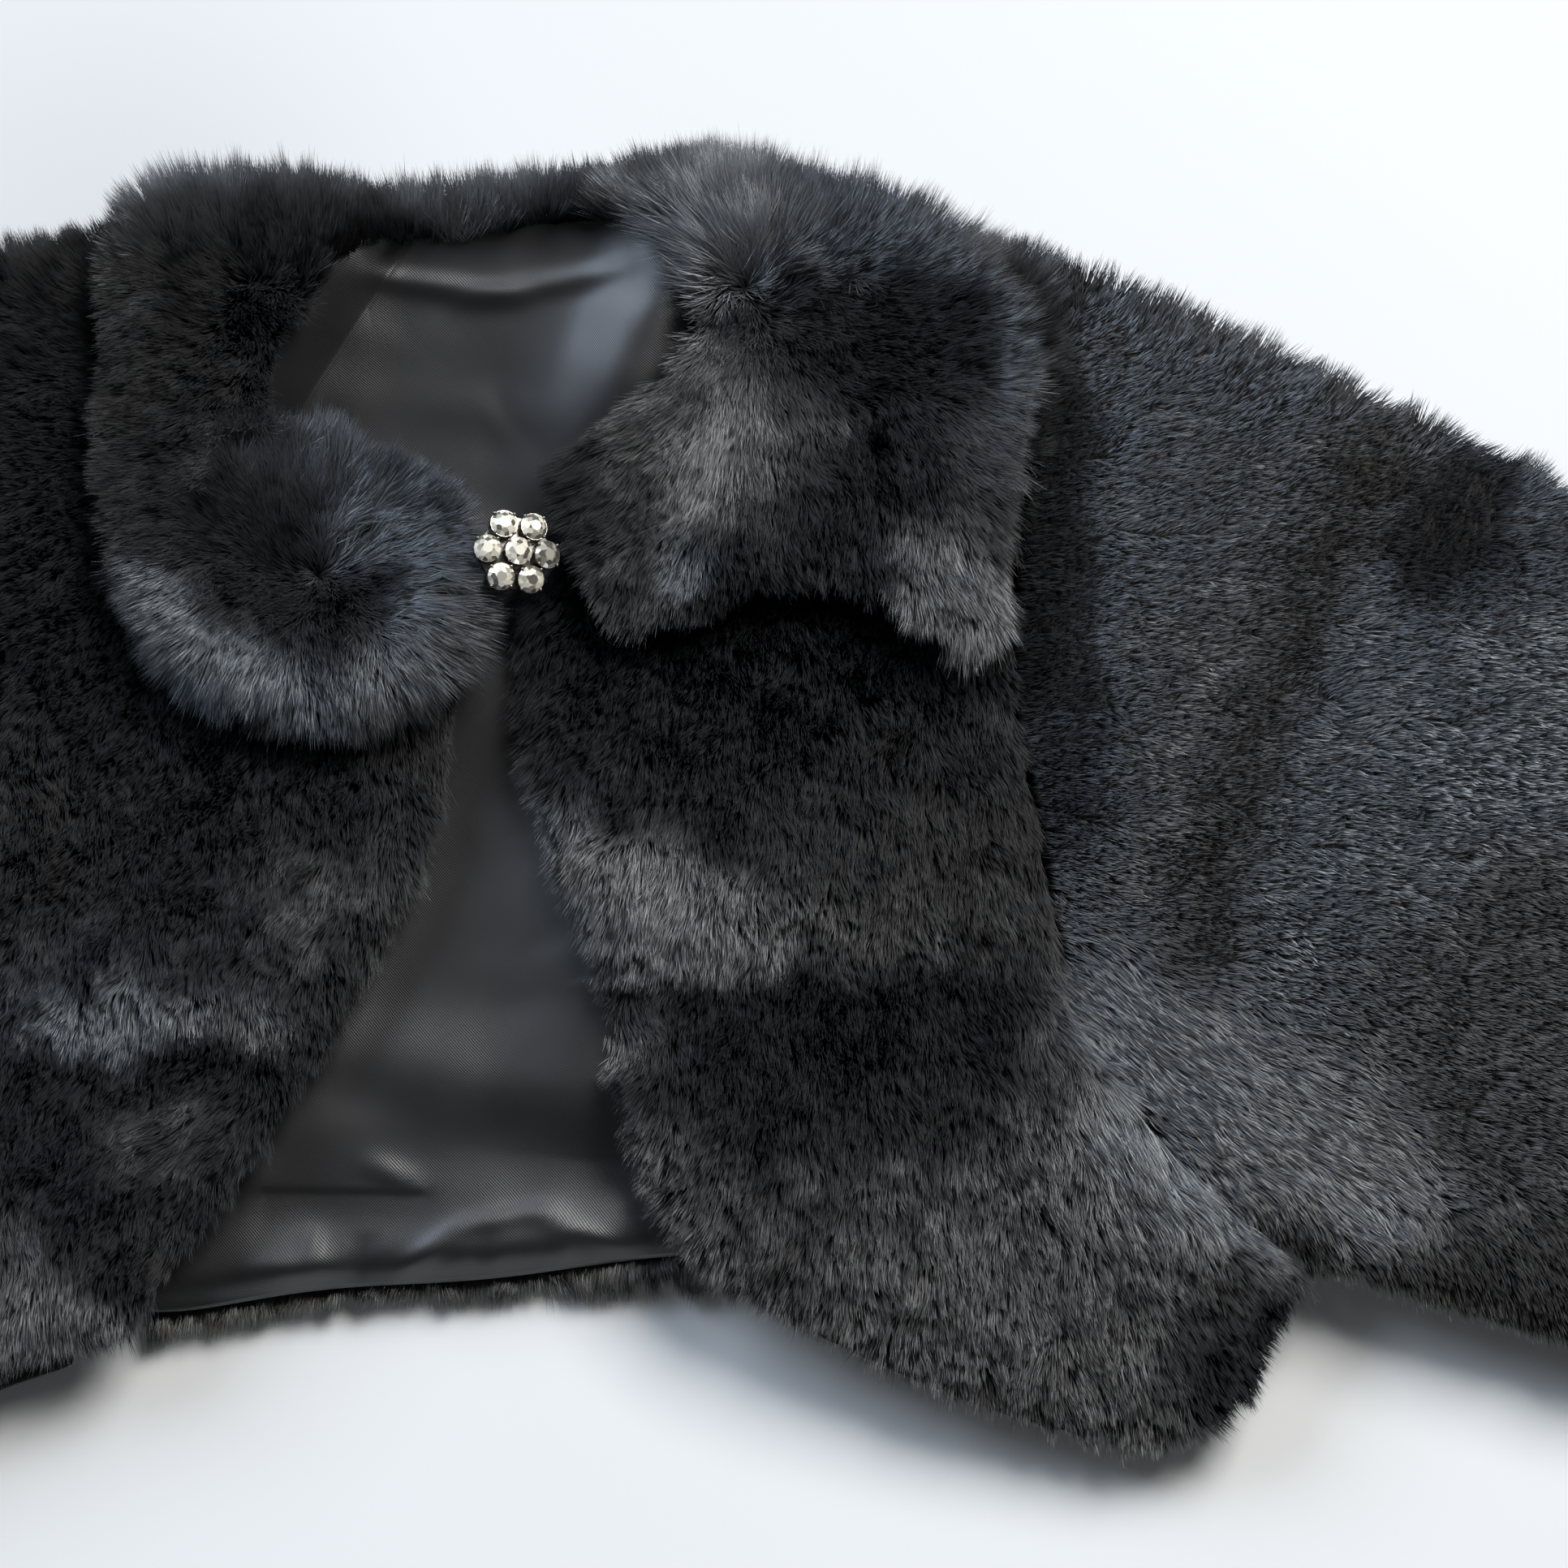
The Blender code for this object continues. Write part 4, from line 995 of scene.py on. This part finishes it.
def backing_of_sleeve(node, pile):
    """The outer side of a sleeve's backing, all round, pressed flat below."""
    bm = node_bmesh(node)
    outer_skin(bm)
    draw_in(bm, node, pile.inset)
    ease(bm, node)
    bm.normal_update()
    moves = []
    for vert in bm.verts:
        lean = vert.normal.z
        depth = pile.depth if lean > 0 else UNDER_DEPTH
        if vert.is_boundary:
            moves.append(Vector((0.0, 0.0, -depth * lean)))
        else:
            moves.append(-vert.normal * (depth * abs(lean) + FOLD_DEPTH * (1 - abs(lean))))
    for vert, move in zip(bm.verts, moves):
        vert.co += move
    return finer(bm, 1)


def dress(panel, bm, coat, pile):
    """A panel's backing with its pile, in place of the panel's solid. An open backing is thickened."""
    made = bpy.data.materials.get("fur_backing"), bpy.data.materials.get("black_hair")
    backing, hair = made if all(made) else (backing_material(pile), hair_material(pile))
    fur = grow(panel, bm, coat, pile, hair)
    if any(edge.is_boundary for edge in bm.edges):
        thicken(bm, pile.backing)
    shell = new_piece(f"backing_{panel.node}", bm, backing)
    lay_sheet(shell, panel.node)


def dress_all(panels, backing_of, coat, pile):
    for panel in panels:
        dress(panel, backing_of(panel.node, pile), coat, pile)
    return {"FINISHED"}


def plan_key(vert):
    return round(vert.co.x, 6), round(vert.co.y, 6)


BACK = Panel("back", NAP_BACK, 24000, 11)
FRONTS = (
    Panel("front_left", NAP_FRONT_LEFT, 145000, 21),
    Panel("front_right", NAP_FRONT_RIGHT, 145000, 22),
)
MIRRORED_NAP = [row._replace(x=-row.x, heading=180 - row.heading) for row in NAP_SLEEVE]
SLEEVES = (
    Panel("sleeve_left", MIRRORED_NAP, 135000, 31),
    Panel("sleeve_right", NAP_SLEEVE, 195000, 32),
)
COLLAR = (
    Panel("collar_left", NAP_COLLAR_LEFT, 85000, 41),
    Panel("collar_right", NAP_COLLAR_RIGHT, 85000, 42),
)


class BOLERO_OT_back(bpy.types.Operator):
    """Lays the back, fur side down, with its pile showing at neck and hem"""

    bl_idname = "bolero.lay_back"
    bl_label = "Back"

    def execute(self, context):
        pile = context.scene.bolero.pile
        bm = node_bmesh("back")
        for vert in bm.verts:
            vert.co.z += FLOOR_GAP if vert.normal.z < 0 else -BACK_THINNER
        upper = bm.copy()
        keep_faces(upper, lambda face: face.normal.z > PANEL_SIDE)
        before = {plan_key(vert): vert for vert in upper.verts}
        draw_in(upper, "back", pile.inset)
        drawn = {key: vert.co.xy for key, vert in before.items()}
        for vert in bm.verts:
            place = drawn.get(plan_key(vert))
            if place is not None:
                vert.co.x, vert.co.y = place
        upper.free()
        ease(bm, "back")
        coat = Coat(pile.hem_length, pile.hem_length, 0.0, 1.0, 4 * pile.lock, 1.8)
        dress(BACK, finer(bm, 1), coat, pile)
        return {"FINISHED"}


class BOLERO_OT_lining(bpy.types.Operator):
    """Lays the satin lining, and its edges below the fronts' hems"""

    bl_idname = "bolero.lay_lining"
    bl_label = "Lining"

    def execute(self, context):
        satin = context.scene.bolero.satin
        material = satin_material(satin)
        for node, levels in LINING_LEVELS.items():
            bm = node_bmesh(node)
            keep_faces(bm, lambda face: face.normal.z > SATIN_SIDE)
            if node == "back_lining":
                for vert in bm.verts:
                    if vert.is_boundary and vert.co.y < LINING_HEM:
                        vert.co.y -= LINING_REACH
            ease(bm, node)
            bm = finer(bm, levels)
            if node == "back_lining":
                refine_along(bm, SATIN_STEPS)
                plan = np.array([v.co.xy for v in bm.verts])
                heights = crease_height(plan, SATIN_CREASES) + step_height(plan, SATIN_STEPS)
                heights += SATIN_RIPPLE * ripple(plan, SATIN_PITCH, SATIN_SEED)
                for vert, height in zip(bm.verts, heights):
                    vert.co.z += height
            thicken(bm, satin.thickness)
            lay_sheet(new_piece(f"satin_{node}", bm, material), node)
        return {"FINISHED"}


class BOLERO_OT_fronts(bpy.types.Operator):
    """Lays both fronts on the lining"""

    bl_idname = "bolero.lay_fronts"
    bl_label = "Fronts"

    def execute(self, context):
        pile = context.scene.bolero.pile
        coat = Coat(pile.length, pile.edge_length, pile.stand, 1.0, pile.lock)
        return dress_all(FRONTS, backing_of_panel, coat, pile)


class BOLERO_OT_sleeves(bpy.types.Operator):
    """Lays both sleeves flat at the armholes"""

    bl_idname = "bolero.lay_sleeves"
    bl_label = "Sleeves"

    def execute(self, context):
        pile = context.scene.bolero.pile
        coat = Coat(pile.short_length, pile.fold_length, 1.3 * pile.stand, 0.0, pile.lock // 2, 0.5, 0.35)
        return dress_all(SLEEVES, backing_of_sleeve, coat, pile)


class BOLERO_OT_collar(bpy.types.Operator):
    """Turns both halves of the collar down over the fronts"""

    bl_idname = "bolero.lay_collar"
    bl_label = "Collar"

    def execute(self, context):
        pile = context.scene.bolero.pile
        coat = Coat(pile.length, pile.edge_length, 0.8 * pile.stand, 1.0, pile.lock)
        return dress_all(COLLAR, backing_of_panel, coat, pile)


# Flower button

FACETS = [
    Facet(8, 34.0, 0.80, 0.0),
    Facet(8, 22.0, 0.66, 22.5),
    Facet(16, 44.0, 0.93, 11.25),
]
STONE_TOP = 1.5 * MM  # of the table above the girdle
GIRDLE_SIDES = 32
CLAWS = 4
CLAW_TURN = math.radians(45)
CLAW_OUT = 0.1 * MM  # from the girdle
CLAW_RISE = 0.45 * MM
CROWN = 2.2  # how steeply the facets climb from girdle to table
CUT_DISTANCE = 1e-7
FAR_PETALS = 7 * MM  # stones past this X get painted shade, as if turned from the light, and their painted glints keep this share of their brightness
SHADED_PETAL_SHARE = 0.45  # and throw back this share of it
# Brightness painted on each facet as a painted glint, with the odds of each
PAINTED_GLINT_SHARES = (0.05, 0.4, 0.8, 1.0)
PAINTED_GLINT_ODDS = (0.22, 0.16, 0.22, 0.4)
PAINTED_GLINT_SEED = 5


def stone_place(node):
    """The stone's place, with +Z along its axis, its radius, and its depth below the girdle."""
    bm = node_bmesh(node)
    points = np.array([v.co for v in bm.verts])
    bm.free()
    middle = points.mean(0)
    values, vectors = np.linalg.eigh(np.cov((points - middle).T))
    odd = 0 if values[1] - values[0] > values[2] - values[1] else 2
    axis = Vector(vectors[:, odd])
    axis = axis if axis.z > 0 else -axis
    height = (points - middle) @ np.array(axis)
    radius = float(np.linalg.norm(points - middle - np.outer(height, axis), axis=1).max())
    girdle = float(height.max()) - STONE_TOP
    turn = UP.rotation_difference(axis).to_matrix().to_4x4()
    return Matrix.Translation(Vector(middle) + girdle * axis) @ turn, radius, girdle - float(height.min())


def cut_facets(bm, radius):
    """Cuts flat facets all round, as a lapidary does."""
    for facet in FACETS:
        slope = math.radians(facet.slope)
        for i in range(facet.count):
            turn = math.radians(facet.turn) + 2 * math.pi * i / facet.count
            out = Vector((math.cos(turn), math.sin(turn), 0.0))
            normal = out * math.sin(slope) + UP * math.cos(slope)
            touch = out * radius * facet.reach + UP * STONE_TOP * (1 - facet.reach) * CROWN
            cut = bmesh.ops.bisect_plane(
                bm, geom=bm.verts[:] + bm.edges[:] + bm.faces[:], dist=CUT_DISTANCE, plane_co=touch,
                plane_no=normal, clear_outer=True,
            )
            edges = [e for e in cut["geom_cut"] if isinstance(e, bmesh.types.BMEdge)]
            if edges:
                bmesh.ops.edgeloop_fill(bm, edges=edges)


class BOLERO_OT_button(bpy.types.Operator):
    """Sets seven cut stones in the flower button"""

    bl_idname = "bolero.set_button"
    bl_label = "Flower button"

    def execute(self, context):
        button = context.scene.bolero.button
        metal = metal_material(button)
        crystal = crystal_material(button)
        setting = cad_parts["button_setting"]
        setting.data.materials.clear()
        setting.data.materials.append(metal)
        rng = np.random.default_rng(PAINTED_GLINT_SEED)
        claws = bmesh.new()
        for node in STONE_NODES:
            place, radius, depth = stone_place(node)
            radius *= button.stone
            # painted shade on the stones past the far petals' line
            painted_light_share = SHADED_PETAL_SHARE if place.translation.x > FAR_PETALS else 1.0
            bm = bmesh.new()
            bmesh.ops.create_cone(
                bm, cap_ends=True, segments=GIRDLE_SIDES, radius1=radius, radius2=radius, depth=STONE_TOP,
                matrix=Matrix.Translation((0.0, 0.0, 0.5 * STONE_TOP)),
            )
            cut_facets(bm, radius)
            below = max((f for f in bm.faces if f.normal.z < -0.9), key=lambda f: f.calc_area())
            culet = bmesh.ops.poke(bm, faces=[below])["verts"][0]
            culet.co.z -= depth
            bmesh.ops.recalc_face_normals(bm, faces=bm.faces[:])
            # a painted glint on each facet
            painted_glint = bm.faces.layers.float.new("painted_glint")
            for face in bm.faces:
                face[painted_glint] = painted_light_share * rng.choice(PAINTED_GLINT_SHARES, p=PAINTED_GLINT_ODDS)
            bmesh.ops.transform(bm, matrix=place, verts=bm.verts[:])
            stone = new_piece(f"cut_{node}", bm, crystal, smooth=False)
            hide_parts(node)
            for i in range(CLAWS):
                turn = CLAW_TURN + 2 * math.pi * i / CLAWS
                spot = Vector((math.cos(turn), math.sin(turn), 0.0)) * (radius + CLAW_OUT)
                bmesh.ops.create_icosphere(
                    claws, subdivisions=2, radius=button.claw,
                    matrix=place @ Matrix.Translation(spot + CLAW_RISE * UP),
                )
        new_piece("button_claws", claws, metal)
        return {"FINISHED"}


# Stage

VIEW_CENTRE = Vector((64.8, 3.8, 25.0)) * MM
KEY_PLACE = Vector((1.13, 1.474, 1.75))
KEY_SIZE = 1.1
KEY_COLOUR = (1.0, 0.99, 0.975)
WINDOW_PLACE = Vector((-1.4, 1.3, 1.3))
WINDOW_SIZE = 1.2
WINDOW_COLOUR = (0.72, 0.83, 1.0)
FILL_PLACE = Vector((0.3, -1.6, 0.42))
FILL_SIZE = 0.5
SKY_COLOUR = (0.95, 0.98, 1.0)
FLOOR_SIZE = 3.0


def add_light(name, place, size, power, colour):
    light = bpy.data.lights.new(name, "AREA")
    light.size = size
    light.energy = power
    light.color = colour
    obj = bpy.data.objects.new(name, light)
    obj.location = place
    obj.rotation_euler = (place - VIEW_CENTRE).to_track_quat("Z", "Y").to_euler()
    bpy.context.scene.collection.objects.link(obj)


class BOLERO_OT_stage(bpy.types.Operator):
    """Sets the floor, the lights and the camera above the garment"""

    bl_idname = "bolero.set_stage"
    bl_label = "Stage"

    def execute(self, context):
        stage = context.scene.bolero.stage
        bm = bmesh.new()
        bmesh.ops.create_grid(bm, x_segments=1, y_segments=1, size=FLOOR_SIZE)
        mesh = bpy.data.meshes.new("floor")
        bm.to_mesh(mesh)
        bm.free()
        mesh.materials.append(floor_material(stage))
        floor = bpy.data.objects.new("floor", mesh)
        context.scene.collection.objects.link(floor)
        add_light("key", KEY_PLACE, KEY_SIZE, stage.key, KEY_COLOUR)
        add_light("window", WINDOW_PLACE, WINDOW_SIZE, stage.window, WINDOW_COLOUR)
        add_light("fill", FILL_PLACE, FILL_SIZE, stage.fill, SKY_COLOUR)
        world = bpy.data.worlds.new("soft_sky")
        world.use_nodes = True
        sky = world.node_tree.nodes["Background"]
        sky.inputs["Color"].default_value = (*SKY_COLOUR, 1.0)
        sky.inputs["Strength"].default_value = stage.sky
        context.scene.world = world
        lens = bpy.data.cameras.new("camera")
        lens.lens = stage.lens
        away = stage.width * stage.lens / lens.sensor_width
        camera = bpy.data.objects.new("camera", lens)
        back = Vector((0.0, -math.cos(stage.elevation), math.sin(stage.elevation)))
        camera.location = VIEW_CENTRE + away * back
        camera.rotation_euler = (math.pi / 2 - stage.elevation, 0.0, 0.0)
        context.scene.collection.objects.link(camera)
        context.scene.camera = camera
        context.scene.view_settings.view_transform = "Standard"
        return {"FINISHED"}


class BOLERO_PT_sidebar(bpy.types.Panel):
    """Lists the garment's pieces in the order in which they are laid"""

    bl_idname = "BOLERO_PT_sidebar"
    bl_label = "Bolero"
    bl_space_type = "VIEW_3D"
    bl_region_type = "UI"
    bl_category = "Bolero"

    def draw(self, context):
        for operator in OPERATORS:
            self.layout.operator(operator.bl_idname)
        settings = context.scene.bolero
        for group in (settings.pile, settings.satin, settings.button, settings.stage):
            box = self.layout.box()
            for name in group.bl_rna.properties.keys():
                if name not in ("rna_type", "name"):
                    box.prop(group, name)


GROUPS = (PileSettings, SatinSettings, ButtonSettings, StageSettings, BoleroSettings)
OPERATORS = (
    BOLERO_OT_stage, BOLERO_OT_back, BOLERO_OT_lining, BOLERO_OT_fronts, BOLERO_OT_sleeves,
    BOLERO_OT_collar, BOLERO_OT_button,
)
CLASSES = GROUPS + OPERATORS + (BOLERO_PT_sidebar,)


def register():
    for cls in CLASSES:
        bpy.utils.register_class(cls)
    bpy.types.Scene.bolero = PointerProperty(type=BoleroSettings)


def unregister():
    del bpy.types.Scene.bolero
    for cls in reversed(CLASSES):
        bpy.utils.unregister_class(cls)


def main():
    register()
    bpy.ops.bolero.set_stage()
    bpy.ops.bolero.lay_back()
    bpy.ops.bolero.lay_lining()
    bpy.ops.bolero.lay_fronts()
    bpy.ops.bolero.lay_sleeves()
    bpy.ops.bolero.lay_collar()
    bpy.ops.bolero.set_button()


if __name__ == "__main__":
    main()
